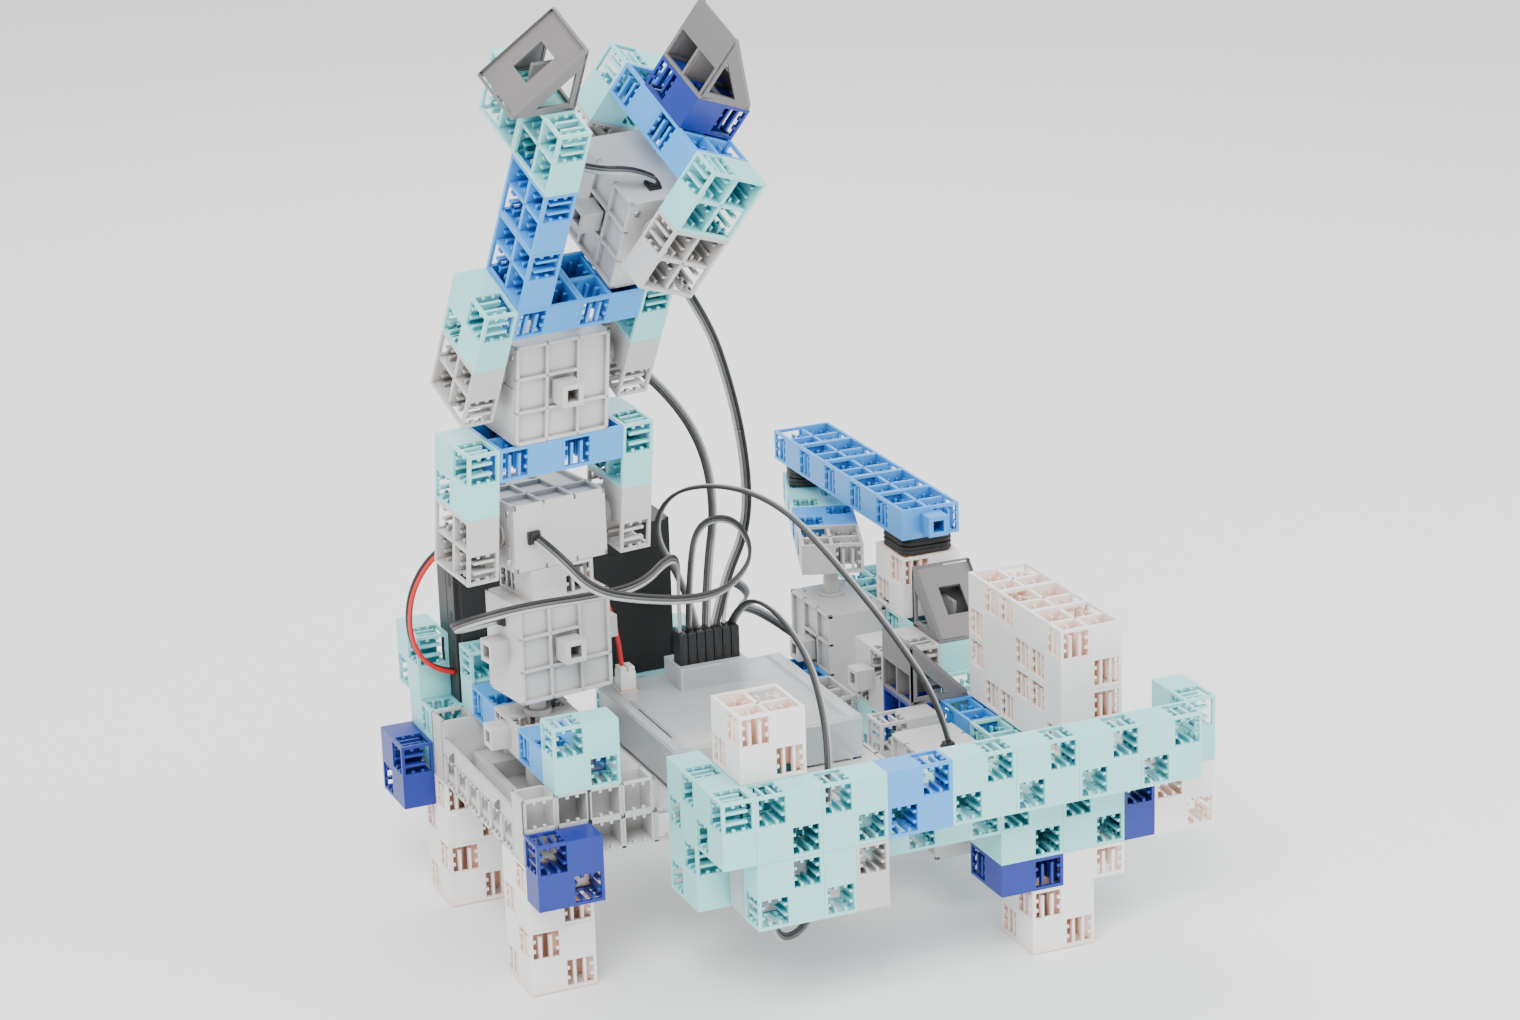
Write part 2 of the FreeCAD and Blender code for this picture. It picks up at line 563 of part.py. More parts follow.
save("jaw_horn_blocks", jaw([
    horn((jaw_left, JAW_FRONT, JAW_AXIS - 1), TALL, 1, 1, neck_front),
    horn((jaw_left, JAW_FRONT + 5, JAW_AXIS - 1), TALL, 1, -1, neck_back)]))
jaw_blocks = [block((jaw_left, JAW_FRONT, JAW_AXIS + 1), TALL, 1, -1),
              block((jaw_left, JAW_FRONT + 5, JAW_AXIS + 1), TALL, 1, 1),
              block((jaw_left, JAW_FRONT + 1, JAW_AXIS + 2), FLAT, 2, 1),
              block((jaw_left, JAW_FRONT + 3, JAW_AXIS + 2), FLAT, 2, 1),
              block((jaw_left, JAW_FRONT + 2, JAW_AXIS + 3), FLAT, 2, -1)]
save("jaw_half_blocks", jaw(jaw_blocks))
save("jaw_wedge", jaw([wedge((jaw_left, JAW_FRONT + 2, JAW_AXIS + 4), CUBE, 1, -1)]))

# leads: points in cells, with the level of the arm that each moves with
PLUG_TOP = 7.95
plug_x = [PLUG_X + 0.13 + i * PLUG_PITCH for i in range(7)]
JAW_LEAD = [(4.5, 3.85, 23.94, 2), (3.9, 3.85, 24.35, 2), (2.75, 4.3, 24.2, 2),
            (2.6, 6.0, 23.4, 2), (2.7, 8.0, 22.4, 2), (4.3, 8.3, 21.2, 2), (6.0, 7.5, 20.3, 2),
            (7.0, 2.4, 18.8, None), (8.4, 3.9, 15.8, None), (9.4, 5.4, 13.0, None),
            (9.7, 6.2, 10.8, None), (8.9, 6.2, 9.2, None), (plug_x[4], 5.9, PLUG_TOP, None)]
UPPER_LEAD = [(3.4, 4.0, 18.94, 1), (3.5, 4.7, 19.4, 1), (3.9, 6.0, 19.0, 1), (4.9, 6.9, 17.7, 1),
              (7.2, 6.8, 15.6, None), (8.7, 7.2, 13.5, None), (9.1, 7.2, 11.3, None),
              (8.5, 6.6, 9.4, None), (plug_x[3], 5.9, PLUG_TOP, None)]
LOWER_LEAD = [(1.6, 2.74, 12.7, 0), (1.65, 1.7, 12.5, 0), (2.4, 1.1, 11.4, 0), (4.1, 1.2, 10.8, 0),
              (6.4, 2.4, 10.2, None), (8.1, 3.7, 9.9, None), (9.4, 4.9, 10.4, None),
              (9.3, 6.2, 11.2, None), (8.2, 6.5, 11.1, None), (7.6, 5.8, 9.8, None),
              (plug_x[1], 5.9, PLUG_TOP, None)]
YAW_LEAD = [(0.74, 4.0, 10.1, 0), (-0.3, 3.9, 10.1, 0), (-1.2, 3.1, 10.5, 0), (-0.6, 2.1, 11.0, 0),
            (0.9, 1.9, 11.1, 0), (2.9, 2.0, 10.9, 0), (4.9, 2.7, 10.8, None),
            (6.3, 4.1, 11.0, None), (7.1, 5.3, 10.4, None), (7.25, 5.85, 9.2, None),
            (plug_x[0], 5.9, PLUG_TOP, None)]
GATE_LEAD = [(13.5, 0.4, 5.24, None), (13.3, 0.6, 6.4, None), (12.3, 1.3, 8.4, None),
             (10.9, 2.3, 10.6, None), (9.9, 3.7, 12.1, None), (8.7, 5.2, 12.6, None),
             (7.4, 6.6, 12.2, None), (7.0, 7.2, 10.7, None), (7.7, 6.5, 9.3, None),
             (plug_x[2], 5.9, PLUG_TOP, None)]
FEEDER_LEAD = [(15.0, 13.24, 3.6, None), (14.8, 14.3, 3.8, None), (13.6, 14.6, 4.8, None),
               (12.3, 13.4, 5.6, None), (11.6, 11.4, 6.4, None), (11.0, 9.4, 7.4, None),
               (10.1, 7.6, 8.4, None), (9.2, 6.7, 9.1, None), (plug_x[5], 5.9, PLUG_TOP, None)]
SENSOR_LEAD = [(6.0, -3.5, 2.98, None), (6.15, -3.3, 1.75, None), (7.4, -2.7, 1.6, None),
               (8.3, -2.0, 2.8, None), (8.8, -1.3, 4.5, None), (9.2, -0.6, 6.2, None),
               (9.6, 0.9, 7.3, None), (9.9, 2.6, 8.0, None), (9.7, 4.3, 8.8, None),
               (9.2, 5.4, 8.9, None), (plug_x[6], 5.9, PLUG_TOP, None)]
BATTERY_LEAD = [(0.99, 8.5, 6.9, None), (0.2, 8.5, 7.1, None), (-0.4, 8.5, 8.3, None),
                (-0.2, 8.4, 9.9, None), (0.8, 8.2, 11.1, None), (2.6, 7.8, 11.3, None),
                (4.3, 7.5, 10.6, None), (5.3, 7.2, 9.3, None), (5.55, 6.6, 8.1, None),
                (5.52, 6.3, 7.07, None)]
WIRE_SHIFT = (0.0, 0.22, 0.0)         # from the red wire of the battery lead to the black one
jaw_top, jaw_middle, jaw_foot = sections(JAW_LEAD, (6, 8))
upper_top, upper_foot = sections(UPPER_LEAD, (3,))
foot = [("jaw foot", jaw_foot), ("upper foot", upper_foot)]
foot += [("lower", sections(LOWER_LEAD, ())[0]), ("yaw", sections(YAW_LEAD, ())[0])]
fixed = [("gate", GATE_LEAD), ("feeder", FEEDER_LEAD), ("sensor", SENSOR_LEAD)]
save("jaw_lead_top", [tube(jaw_top, LEAD_RADIUS, "jaw top")])
save("arm_leads_middle", [tube(jaw_middle, LEAD_RADIUS, "jaw middle"),
                          tube(upper_top, LEAD_RADIUS, "upper top")])
save("arm_leads_foot", [tube(points, LEAD_RADIUS, name) for name, points in foot])
save("fixed_leads", [tube([place(p) for p in points], LEAD_RADIUS, name) for name, points in fixed])
wires = []
for colour, side in (("red", 0), ("black", 1)):
    shift = [side * s for s in WIRE_SHIFT]
    points = [place((p[0] + shift[0], p[1] + shift[1], p[2] + shift[2], p[3])) for p in BATTERY_LEAD]
    wires.append(tube(points, WIRE_RADIUS, colour))
save("battery_leads", wires)
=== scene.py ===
"""Classroom robot arm kit: the visual model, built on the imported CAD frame.

Places are given in grid cells, as in the CAD source, and CELL turns them into metres.
"""

import math

import bmesh
import bpy
from mathutils import Matrix, Vector


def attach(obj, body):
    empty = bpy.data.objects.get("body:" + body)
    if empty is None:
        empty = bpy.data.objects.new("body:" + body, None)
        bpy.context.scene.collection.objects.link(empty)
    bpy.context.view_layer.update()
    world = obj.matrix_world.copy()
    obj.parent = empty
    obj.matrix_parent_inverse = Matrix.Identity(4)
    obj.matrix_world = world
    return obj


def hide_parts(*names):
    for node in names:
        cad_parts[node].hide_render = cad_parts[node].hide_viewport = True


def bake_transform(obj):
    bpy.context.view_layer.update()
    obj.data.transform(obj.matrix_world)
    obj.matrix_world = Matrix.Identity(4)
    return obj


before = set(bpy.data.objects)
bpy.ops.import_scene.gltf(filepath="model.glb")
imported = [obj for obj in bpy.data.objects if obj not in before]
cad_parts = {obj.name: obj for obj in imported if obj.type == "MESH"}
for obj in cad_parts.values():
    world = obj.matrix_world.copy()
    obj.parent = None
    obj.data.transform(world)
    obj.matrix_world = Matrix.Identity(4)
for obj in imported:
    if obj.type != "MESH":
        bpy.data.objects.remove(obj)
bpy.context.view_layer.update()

# ---- grid and sizes (metres) ----
CELL = 0.010
MM = 0.001
PLAY = 0.03 * MM          # clearance left around each block
WALL = 1.0 * MM
WEB = 1.2 * MM
PEG = 6.7 * MM
PEG_HOLE = 3.6 * MM
PEG_LENGTH = 6.0 * MM
SOFT_EDGE = 0.16 * MM     # rounding of moulded edges

# ---- rest pose and layout (cells, degrees) ----
REST_YAW, LOWER_TILT, UPPER_TILT, JAW_OPEN = 9.0, 7.0, 20.5, 22.0
CRANK_LENGTH, CRANK_OFFSET = 6.0, 2.0
BAR = (5.0, -5.0)
FEEDER_SHAFT = (15.0, 12.0)
CRANK_ANGLE = math.asin(CRANK_OFFSET / CRANK_LENGTH)
RING = (FEEDER_SHAFT[0] + CRANK_OFFSET, FEEDER_SHAFT[1] + CRANK_LENGTH * math.cos(CRANK_ANGLE))
CRANK_END = (CRANK_LENGTH + 1.0) * math.cos(CRANK_ANGLE) + math.sin(CRANK_ANGLE)
CENTRE = (9.5, (BAR[1] + FEEDER_SHAFT[1] + CRANK_END) / 2)
YAW_AXIS = (2.0, 4.0)
GATE_X = 13.5
LOWER_AXIS, UPPER_AXIS, JAW_AXIS = 12.7, 17.7, 22.7
YOKE_MIDDLE = 2.5
JAW_X, JAW_FACE, JAW_FRONT = 4.5, 3.25, 1.6
PLUG_X, PLUG_PITCH, PLUG_TOP = 7.16, 0.28, 7.95
CUBE, FLAT, TALL, SIDE, POST = (2, 2, 2), (2, 2, 1), (2, 1, 2), (1, 2, 2), (1, 1, 2)


def at(x, y, z):
    """Point given in cells, in metres."""
    return Vector(((x - CENTRE[0]) * CELL, (y - CENTRE[1]) * CELL, z * CELL))


def turn(point, axis, degrees):
    """Matrix that turns about an axis through a point given in cells."""
    hub = Matrix.Translation(at(*point))
    return hub @ Matrix.Rotation(math.radians(degrees), 4, axis) @ hub.inverted()


HERE = Matrix.Identity(4)
SWING = turn((YAW_AXIS[0], YAW_AXIS[1], 0), "Z", REST_YAW)
LOWER = SWING @ turn((YOKE_MIDDLE, YAW_AXIS[1], LOWER_AXIS), "X", LOWER_TILT)
UPPER = LOWER @ turn((YOKE_MIDDLE, YAW_AXIS[1], UPPER_AXIS), "X", UPPER_TILT)
JAW = UPPER @ turn((JAW_X, JAW_FACE, JAW_AXIS), "Y", JAW_OPEN)
CRANK = turn((FEEDER_SHAFT[0], FEEDER_SHAFT[1], 7), "Z", -math.degrees(CRANK_ANGLE))
LEVELS = (SWING, LOWER, UPPER)


# ---- materials ----
def nodes_of(name):
    """New material with an empty tree: the material, its nodes, links and shader."""
    material = bpy.data.materials.new(name)
    material.use_nodes = True
    tree = material.node_tree
    return material, tree.nodes, tree.links, tree.nodes["Principled BSDF"]


def set_inputs(node, values):
    """Set inputs of a node by their names."""
    for name, value in values.items():
        node.inputs[name].default_value = value


def add_node(nodes, kind, values):
    """New shader node with some of its inputs set."""
    node = nodes.new("ShaderNode" + kind)
    if kind == "Mix":
        node.data_type = "RGBA"
    set_inputs(node, values)
    return node


def add_grain(nodes, links, shader, scale, depth):
    """Fine moulded texture, as a bump. Gives the coordinates node."""
    place = nodes.new("ShaderNodeTexCoord")
    grain = add_node(nodes, "TexNoise", {"Scale": scale, "Detail": 4})
    bump = add_node(nodes, "Bump", {"Strength": depth, "Distance": 0.0002})
    links.new(place.outputs["Object"], grain.inputs["Vector"])
    links.new(grain.outputs["Fac"], bump.inputs["Height"])
    links.new(bump.outputs["Normal"], shader.inputs["Normal"])
    return place


def plastic(name, colour, inner, roughness=0.38, scatter=0.0):
    """Moulded ABS: slight colour drift, painted shade in its hollows (colour mixed towards inner where
    ambient occlusion is low) and a satin skin.
    """
    material, nodes, links, shader = nodes_of(name)
    place = add_grain(nodes, links, shader, 900, 0.10)
    cloud = add_node(nodes, "TexNoise", {"Scale": 45, "Detail": 3})
    links.new(place.outputs["Object"], cloud.inputs["Vector"])
    drift = add_node(nodes, "Mix", {"A": (*[c * 0.95 for c in colour], 1),
                                    "B": (*[min(1, c * 1.04) for c in colour], 1)})
    links.new(cloud.outputs["Fac"], drift.inputs["Factor"])
    # Painted shade: where ambient occlusion is low, the colour is mixed towards inner, the painted shade
    # colour of hollows and gaps.
    shade = add_node(nodes, "AmbientOcclusion", {"Distance": 0.008})
    shade.samples = 8
    curve = add_node(nodes, "MapRange", {"From Min": 0.15, "From Max": 0.75})
    links.new(shade.outputs["AO"], curve.inputs["Value"])
    painted_shade_mix = add_node(nodes, "Mix", {"A": (*inner, 1)})
    links.new(curve.outputs["Result"], painted_shade_mix.inputs["Factor"])
    links.new(drift.outputs["Result"], painted_shade_mix.inputs["B"])
    links.new(painted_shade_mix.outputs["Result"], shader.inputs["Base Color"])
    rough = add_node(nodes, "MapRange", {"To Min": roughness - 0.06, "To Max": roughness + 0.08})
    links.new(cloud.outputs["Fac"], rough.inputs["Value"])
    links.new(rough.outputs["Result"], shader.inputs["Roughness"])
    if scatter:
        set_inputs(shader, {"Subsurface Weight": scatter, "Subsurface Scale": 0.4,
                            "Subsurface Radius": (0.003, 0.002, 0.0015)})
    return material


def frosted(name):
    """Clear styrene with a frosted skin."""
    material, nodes, links, shader = nodes_of(name)
    add_grain(nodes, links, shader, 600, 0.18)
    set_inputs(shader, {"Base Color": (0.90, 0.93, 0.95, 1), "Roughness": 0.28, "IOR": 1.3,
                        "Transmission Weight": 0.62, "Alpha": 0.72})
    return material


def circuit(name):
    """Dark solder mask with faint tracks."""
    material, nodes, links, shader = nodes_of(name)
    place = add_grain(nodes, links, shader, 400, 0.05)
    tracks = add_node(nodes, "TexBrick", {"Scale": 260, "Color1": (0.012, 0.05, 0.09, 1),
                                          "Color2": (0.016, 0.065, 0.12, 1),
                                          "Mortar": (0.03, 0.12, 0.17, 1)})
    links.new(place.outputs["Object"], tracks.inputs["Vector"])
    links.new(tracks.outputs["Color"], shader.inputs["Base Color"])
    shader.inputs["Roughness"].default_value = 0.35
    return material


def steel(name):
    """Plated can of a cell or screw."""
    material, nodes, links, shader = nodes_of(name)
    add_grain(nodes, links, shader, 1500, 0.05)
    set_inputs(shader, {"Base Color": (0.62, 0.62, 0.62, 1), "Metallic": 1.0, "Roughness": 0.32})
    return material


# The second colour of each plastic is its painted shade colour, mixed in where ambient occlusion is low.
PAINT = {
    "mint": plastic("mint_plastic", (0.33, 0.76, 0.75), (0.015, 0.30, 0.38), scatter=0.1),
    "blue": plastic("blue_plastic", (0.06, 0.34, 0.80), (0.003, 0.09, 0.42)),
    "navy": plastic("navy_plastic", (0.009, 0.026, 0.27), (0.002, 0.005, 0.09)),
    "white": plastic("white_plastic", (0.90, 0.87, 0.85), (0.90, 0.55, 0.40), scatter=0.2),
    "grey": plastic("grey_plastic", (0.56, 0.55, 0.54), (0.22, 0.20, 0.19)),
    "dark": plastic("dark_grey_plastic", (0.17, 0.16, 0.16), (0.05, 0.045, 0.045), 0.42),
    "black": plastic("black_plastic", (0.018, 0.018, 0.019), (0.006, 0.006, 0.006), 0.5),
    "rubber": plastic("ring_rubber", (0.014, 0.014, 0.014), (0.005, 0.005, 0.005), 0.65),
    "clear": frosted("frosted_plastic"),
    "board": circuit("circuit_board"),
    "steel": steel("cell_metal"),
    "lead_black": plastic("lead_black", (0.02, 0.02, 0.02), (0.01, 0.01, 0.01), 0.42),
    "lead_grey": plastic("lead_grey", (0.10, 0.10, 0.10), (0.04, 0.04, 0.04), 0.42),
    "lead_white": plastic("lead_pale_grey", (0.42, 0.42, 0.42), (0.2, 0.2, 0.2), 0.42),
    "lead_red": plastic("lead_red", (0.62, 0.012, 0.012), (0.3, 0.0, 0.0), 0.4),
}


# ---- meshes ----
def finished(mesh, thickness):
    """Mesh with its walls thickened inwards (if thickness is given) and its edges rounded."""
    thing = bpy.data.objects.new("template", mesh)
    bpy.context.scene.collection.objects.link(thing)
    if thickness:
        solid = thing.modifiers.new("walls", "SOLIDIFY")
        solid.thickness = thickness
        solid.offset = -1
        solid.use_even_offset = True
    bevel = thing.modifiers.new("edges", "BEVEL")
    bevel.width = SOFT_EDGE
    bevel.segments = 2
    bevel.limit_method = "ANGLE"
    bevel.angle_limit = math.radians(40)
    state = bpy.context.evaluated_depsgraph_get()
    result = bpy.data.meshes.new_from_object(thing.evaluated_get(state))
    bpy.data.objects.remove(thing)
    return result


def add_box(bm, low, high):
    """Box between two corners in metres."""
    middle = (Vector(low) + Vector(high)) / 2
    size = Vector(high) - Vector(low)
    made = bmesh.ops.create_cube(bm, size=1.0)
    for v in made["verts"]:
        v.co = Vector((v.co.x * size.x, v.co.y * size.y, v.co.z * size.z)) + middle


def moulded(bm, thickness=0):
    """Finished mesh from a bmesh, which is freed."""
    mesh = bpy.data.meshes.new("moulded")
    bm.to_mesh(mesh)
    bm.free()
    return finished(mesh, thickness)


def span(ends):
    """Two corners of a box from its start and end along each of the three axes."""
    return [ends[i][0] for i in range(3)], [ends[i][1] for i in range(3)]


def solid_mesh(boxes):
    """Rounded boxes as one mesh, each given by two corners in metres."""
    bm = bmesh.new()
    for low, high in boxes:
        add_box(bm, low, high)
    return moulded(bm)


def edge_marks(count):
    """Grid lines along count cells: cell edges and the window's edges, in metres."""
    marks = []
    for i in range(count):
        marks += [i * CELL, i * CELL + WALL, (i + 1) * CELL - WALL]
    marks.append(count * CELL)
    marks[0] += PLAY
    marks[-1] -= PLAY
    return marks


def has_window(a, b, sign, flip):
    """Whether cell (a, b) of a face has a window: a diagonal pair on a square face."""
    return (a + b + (1 if sign < 0 else 0) + flip) % 2 == 0


SHELLS = {}


def block_mesh(size, open_axis, open_sign, flip=0):
    """Hollow block with windows, inner webs, ribs and teeth, from its low corner."""
    key = (size, open_axis, open_sign, flip)
    if key in SHELLS:
        return SHELLS[key]
    bm = bmesh.new()
    marks = [edge_marks(n) for n in size]
    points = {}

    def vert(index):
        if index not in points:
            points[index] = bm.verts.new([marks[i][index[i]] for i in range(3)])
        return points[index]

    teeth = []
    for axis in range(3):
        u, v = [i for i in range(3) if i != axis]
        for sign in (-1, 1):
            if axis == open_axis and sign == open_sign:
                continue
            layer = 0 if sign < 0 else len(marks[axis]) - 1
            for i in range(len(marks[u]) - 1):
                for j in range(len(marks[v]) - 1):
                    cell = (i // 3, j // 3)
                    inside = i % 3 == 1 and j % 3 == 1
                    if inside and has_window(*cell, sign, flip):
                        teeth.append((axis, sign, u, v, cell))
                        continue
                    corners = []
                    for di, dj in ((0, 0), (1, 0), (1, 1), (0, 1)):
                        index = [0, 0, 0]
                        index[axis], index[u], index[v] = layer, i + di, j + dj
                        corners.append(vert(tuple(index)))
                    bm.faces.new(corners)
    bmesh.ops.recalc_face_normals(bm, faces=bm.faces)
    centre = Vector([n * CELL / 2 for n in size])
    outward = sum((f.calc_center_median() - centre).dot(f.normal) for f in bm.faces)
    if outward < 0:
        bmesh.ops.reverse_faces(bm, faces=bm.faces)
    shell = moulded(bm, WALL)
    boxes = []
    u, v = [i for i in range(3) if i != open_axis]
    reach = [WALL * 0.5, size[open_axis] * CELL - WALL * 0.5]
    if open_sign > 0:
        reach[1] = size[open_axis] * CELL - 0.7 * MM
    else:
        reach[0] = 0.7 * MM
    for along, cross in ((u, v), (v, u)):
        for k in range(1, size[cross]):
            boxes.append(span({along: (WALL * 0.5, size[along] * CELL - WALL * 0.5),
                               cross: (k * CELL - WEB / 2, k * CELL + WEB / 2), open_axis: reach}))
    if open_sign > 0:
        rib_reach = (reach[0], reach[1] - 1.5 * MM)
    else:
        rib_reach = (reach[0] + 1.5 * MM, reach[1])
    for along, cross in ((u, v), (v, u)):
        for a in range(size[along]):
            for b in range(size[cross]):
                for inner in (b * CELL + 0.4 * MM, (b + 1) * CELL - 2.1 * MM):
                    for step in (-1.55, 1.55):
                        mid = (a + 0.5) * CELL + step * MM
                        boxes.append(span({along: (mid - 0.45 * MM, mid + 0.45 * MM),
                                           cross: (inner, inner + 1.7 * MM), open_axis: rib_reach}))
    for axis, sign, u2, v2, cell in teeth:
        rise = v2 if v2 != open_axis else u2
        run = u2 if rise == v2 else v2
        place = {u2: cell[0], v2: cell[1]}
        skin = 0.15 * MM if sign < 0 else size[axis] * CELL - 1.0 * MM
        for inset in (0.5 * MM, CELL - 1.9 * MM):
            edge = place[rise] * CELL + inset
            for step in (-1.5, 1.5):
                mid = (place[run] + 0.5) * CELL + step * MM
                boxes.append(span({run: (mid - 0.5 * MM, mid + 0.5 * MM), rise: (edge, edge + 1.4 * MM),
                                   axis: (skin, skin + 0.85 * MM)}))
    SHELLS[key] = (shell, solid_mesh(boxes))
    return SHELLS[key]


def circle(sides):
    """Cosine and sine of each corner of a round outline."""
    angles = [2 * math.pi * i / sides for i in range(sides)]
    return [(math.cos(a), math.sin(a)) for a in angles]


def cylinder(start, end, radius, sides=32):
    """Cylinder between two points in metres, with rounded rims."""
    bm = bmesh.new()
    start, end = Vector(start), Vector(end)
    rise = end - start
    bmesh.ops.create_cone(bm, cap_ends=True, segments=sides, radius1=radius, radius2=radius,
                          depth=rise.length)
    place = Matrix.Translation((start + end) / 2) @ rise.to_track_quat("Z", "Y").to_matrix().to_4x4()
    bmesh.ops.transform(bm, matrix=place, verts=bm.verts)
    return moulded(bm)


class Piece:
    """One visible piece that stands for a CAD node: meshes are added, then it is made."""

    def __init__(self, node, body, slot, matrix=HERE):
        self.node, self.body, self.slot_name, self.matrix = node, body, slot, matrix
        self.bm = bmesh.new()
        self.paints = []

    def add(self, mesh, paint, shift=(0, 0, 0), matrix=HERE):
        """Add a mesh, moved by shift (metres), in one paint."""
        if paint not in self.paints:
            self.paints.append(paint)
        copy = mesh.copy()
        copy.transform(self.matrix @ matrix @ Matrix.Translation(shift))
        before = len(self.bm.faces)
        self.bm.from_mesh(copy)
        self.bm.faces.ensure_lookup_table()
        for face in self.bm.faces[before:]:
            face.material_index = self.paints.index(paint)
        bpy.data.meshes.remove(copy)

    def block(self, low, size, open_axis, open_sign, paint, flip=0, matrix=HERE):
        """Hollow block from its low corner in cells."""
        for mesh in block_mesh(size, open_axis, open_sign, flip):
            self.add(mesh, paint, at(*low), matrix)

    def boxes(self, corners, paint, matrix=HERE):
        """Rounded boxes given by two corners each, in cells."""
        self.add(solid_mesh([(at(*low), at(*high)) for low, high in corners]), paint, matrix=matrix)

    def peg(self, centre, axis, sign, paint):
        """Square hollow peg on a face at centre (cells)."""
        u, v = [i for i in range(3) if i != axis]
        base = at(*centre)
        boxes = []
        wall = (PEG - PEG_HOLE) / 2
        for across, other in ((u, v), (v, u)):
            for side in (-1, 1):
                low, high = list(base), list(base)
                edge = side * (PEG / 2 - wall / 2)
                low[across] += edge - wall / 2
                high[across] += edge + wall / 2
                half = PEG / 2 if across == u else PEG_HOLE / 2 + 0.1 * MM
                low[other] -= half
                high[other] += half
                ends = (-0.4 * MM, PEG_LENGTH - 0.1 * MM)
                low[axis] += min(sign * ends[0], sign * ends[1])
                high[axis] += max(sign * ends[0], sign * ends[1])
                boxes.append((low, high))
        low, high = list(base), list(base)
        for i in (u, v):
            low[i] -= PEG_HOLE / 2 + 0.2 * MM
            high[i] += PEG_HOLE / 2 + 0.2 * MM
        low[axis] -= 0.3 * MM
        high[axis] += 0.3 * MM
        boxes.append((low, high))
        self.add(solid_mesh(boxes), paint)

    def pin(self, face, axis, sign, neck):
        """Output shaft that stands out of a horn block's face (cells), across a neck in mm."""
        start = at(*face)
        way = Vector([sign if i == axis else 0 for i in range(3)])
        self.add(cylinder(start - way * 0.4 * MM, start + way * (neck + 2.5) * MM, 2.5 * MM), "grey")
        self.add(cylinder(start - way * 0.4 * MM, start + way * 1.5 * MM, 4.0 * MM), "grey")

    def make(self):
        """Create the object, put it on its body and hide the CAD node that it stands for."""
        mesh = bpy.data.meshes.new(self.node)
        self.bm.to_mesh(mesh)
        self.bm.free()
        for paint in self.paints:
            mesh.materials.append(PAINT[paint])
        thing = bpy.data.objects.new("v_" + self.node, mesh)
        bpy.context.scene.collection.objects.link(thing)
        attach(thing, self.body)
        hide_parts(self.node)
        return thing


def blocks(node, body, slot, places, size, open_axis, open_sign, matrix=HERE):
    """Piece of equal blocks; places are (corner, paint) or (corner, paint, flip)."""
    piece = Piece(node, body, slot, matrix)
    for place in places:
        piece.block(place[0], size, open_axis, open_sign, place[1], *place[2:])
    return piece


def on_bar(x, y, z):
    """Cell of the bar's own grid, in the part's cells."""
    return (BAR[0] + x, BAR[1] + y, z)


# ---- servos ----
def servo(piece, corner, shaft, thick, out, shaft_sign, pegs, idler=False):
    """Ribbed grey servo case from its low corner in cells."""
    size = [2 if i == thick else 3 for i in range(3)]
    high = [corner[i] + size[i] for i in range(3)]
    centre = [(corner[i] + high[i]) / 2 for i in range(3)]
    u, v = [i for i in range(3) if i != thick]
    skin, rib, lip = 0.13, 0.05, 0.003
    low_core = [c + lip for c in corner]
    high_core = [c - lip for c in high]
    low_core[thick] += skin
    high_core[thick] -= skin
    boxes = [(low_core, high_core)]
    out_axis, out_sign = out
    for sign in (-1, 1):
        base = corner[thick] + lip if sign < 0 else high[thick] - lip - skin - 0.02
        spans = [(corner[i] + lip, high[i] - lip) for i in range(3)]

        def strip(axis, start, end, other, reach):
            boxes.append(span({thick: (base, base + skin + 0.02), axis: (start, end), other: reach}))

        for axis, other in ((u, v), (v, u)):
            first, last = spans[axis]
            for edge in (first, last - 0.11):
                strip(axis, edge, edge + 0.11, other, spans[other])
        for line in (1, 2):
            strip(u, corner[u] + line - rib, corner[u] + line + rib, v, spans[v])
        for line, reach in ((1, spans[u]), (2, (corner[u] + lip, corner[u] + 2))):
            strip(v, corner[v] + line - rib, corner[v] + line + rib, u, reach)
    piece.boxes(boxes, "grey")
    details = []
    across = [i for i in range(3) if i not in (thick, out_axis)][0]
    for side in (-1, 1):
        face = corner[across] + lip if side < 0 else high[across] - lip
        for step in (-0.55, 0.55):
            details.append(span({across: (face - 0.02, face + 0.02),
                                 thick: (centre[thick] + step - 0.3, centre[thick] + step + 0.3),
                                 out_axis: (centre[out_axis] - 1.2, centre[out_axis] + 0.2)}))
    piece.boxes(details, "grey")
    for axis, sign in pegs:
        face = list(centre)
        face[axis] = high[axis] if sign > 0 else corner[axis]
        piece.peg(face, axis, sign, "grey")
    for sign in (-1, 1) if idler else (shaft_sign,):
        mouth = list(centre)
        mouth[out_axis] = (high[out_axis] if out_sign > 0 else corner[out_axis]) - out_sign
        mouth[shaft] = high[shaft] if sign > 0 else corner[shaft]
        way = Vector([sign if i == shaft else 0 for i in range(3)])
        start = at(*mouth)
        piece.add(cylinder(start - way * 0.5 * MM, start + way * 0.7 * MM, 4.2 * MM), "grey")
        for step in (-0.8, 0.8):
            screw = start.copy()
            screw[thick] += step * CELL * 0.9
            screw[out_axis] += out_sign * 0.62 * CELL
            piece.add(cylinder(screw - way * 0.2 * MM, screw + way * 0.35 * MM, 1.0 * MM, 16), "steel")


def servo_core(piece, corner, shaft, thick, out, lead_shift):
    """Black strain relief on a servo's lead side."""
    size = [2 if i == thick else 3 for i in range(3)]
    middle = [corner[i] + size[i] / 2 for i in range(3)]
    out_axis, out_sign = out
    middle[out_axis] = corner[out_axis] + (size[out_axis] if out_sign > 0 else 0)
    middle[shaft] += lead_shift
    boxes = []
    for half, reach in ((0.19, 0.10), (0.15, 0.20)):
        low, high = [c - half for c in middle], [c + half for c in middle]
        ends = (-out_sign * 0.3, out_sign * reach)
        low[out_axis] = middle[out_axis] + min(ends)
        high[out_axis] = middle[out_axis] + max(ends)
        boxes.append((low, high))
    piece.boxes(boxes, "black")


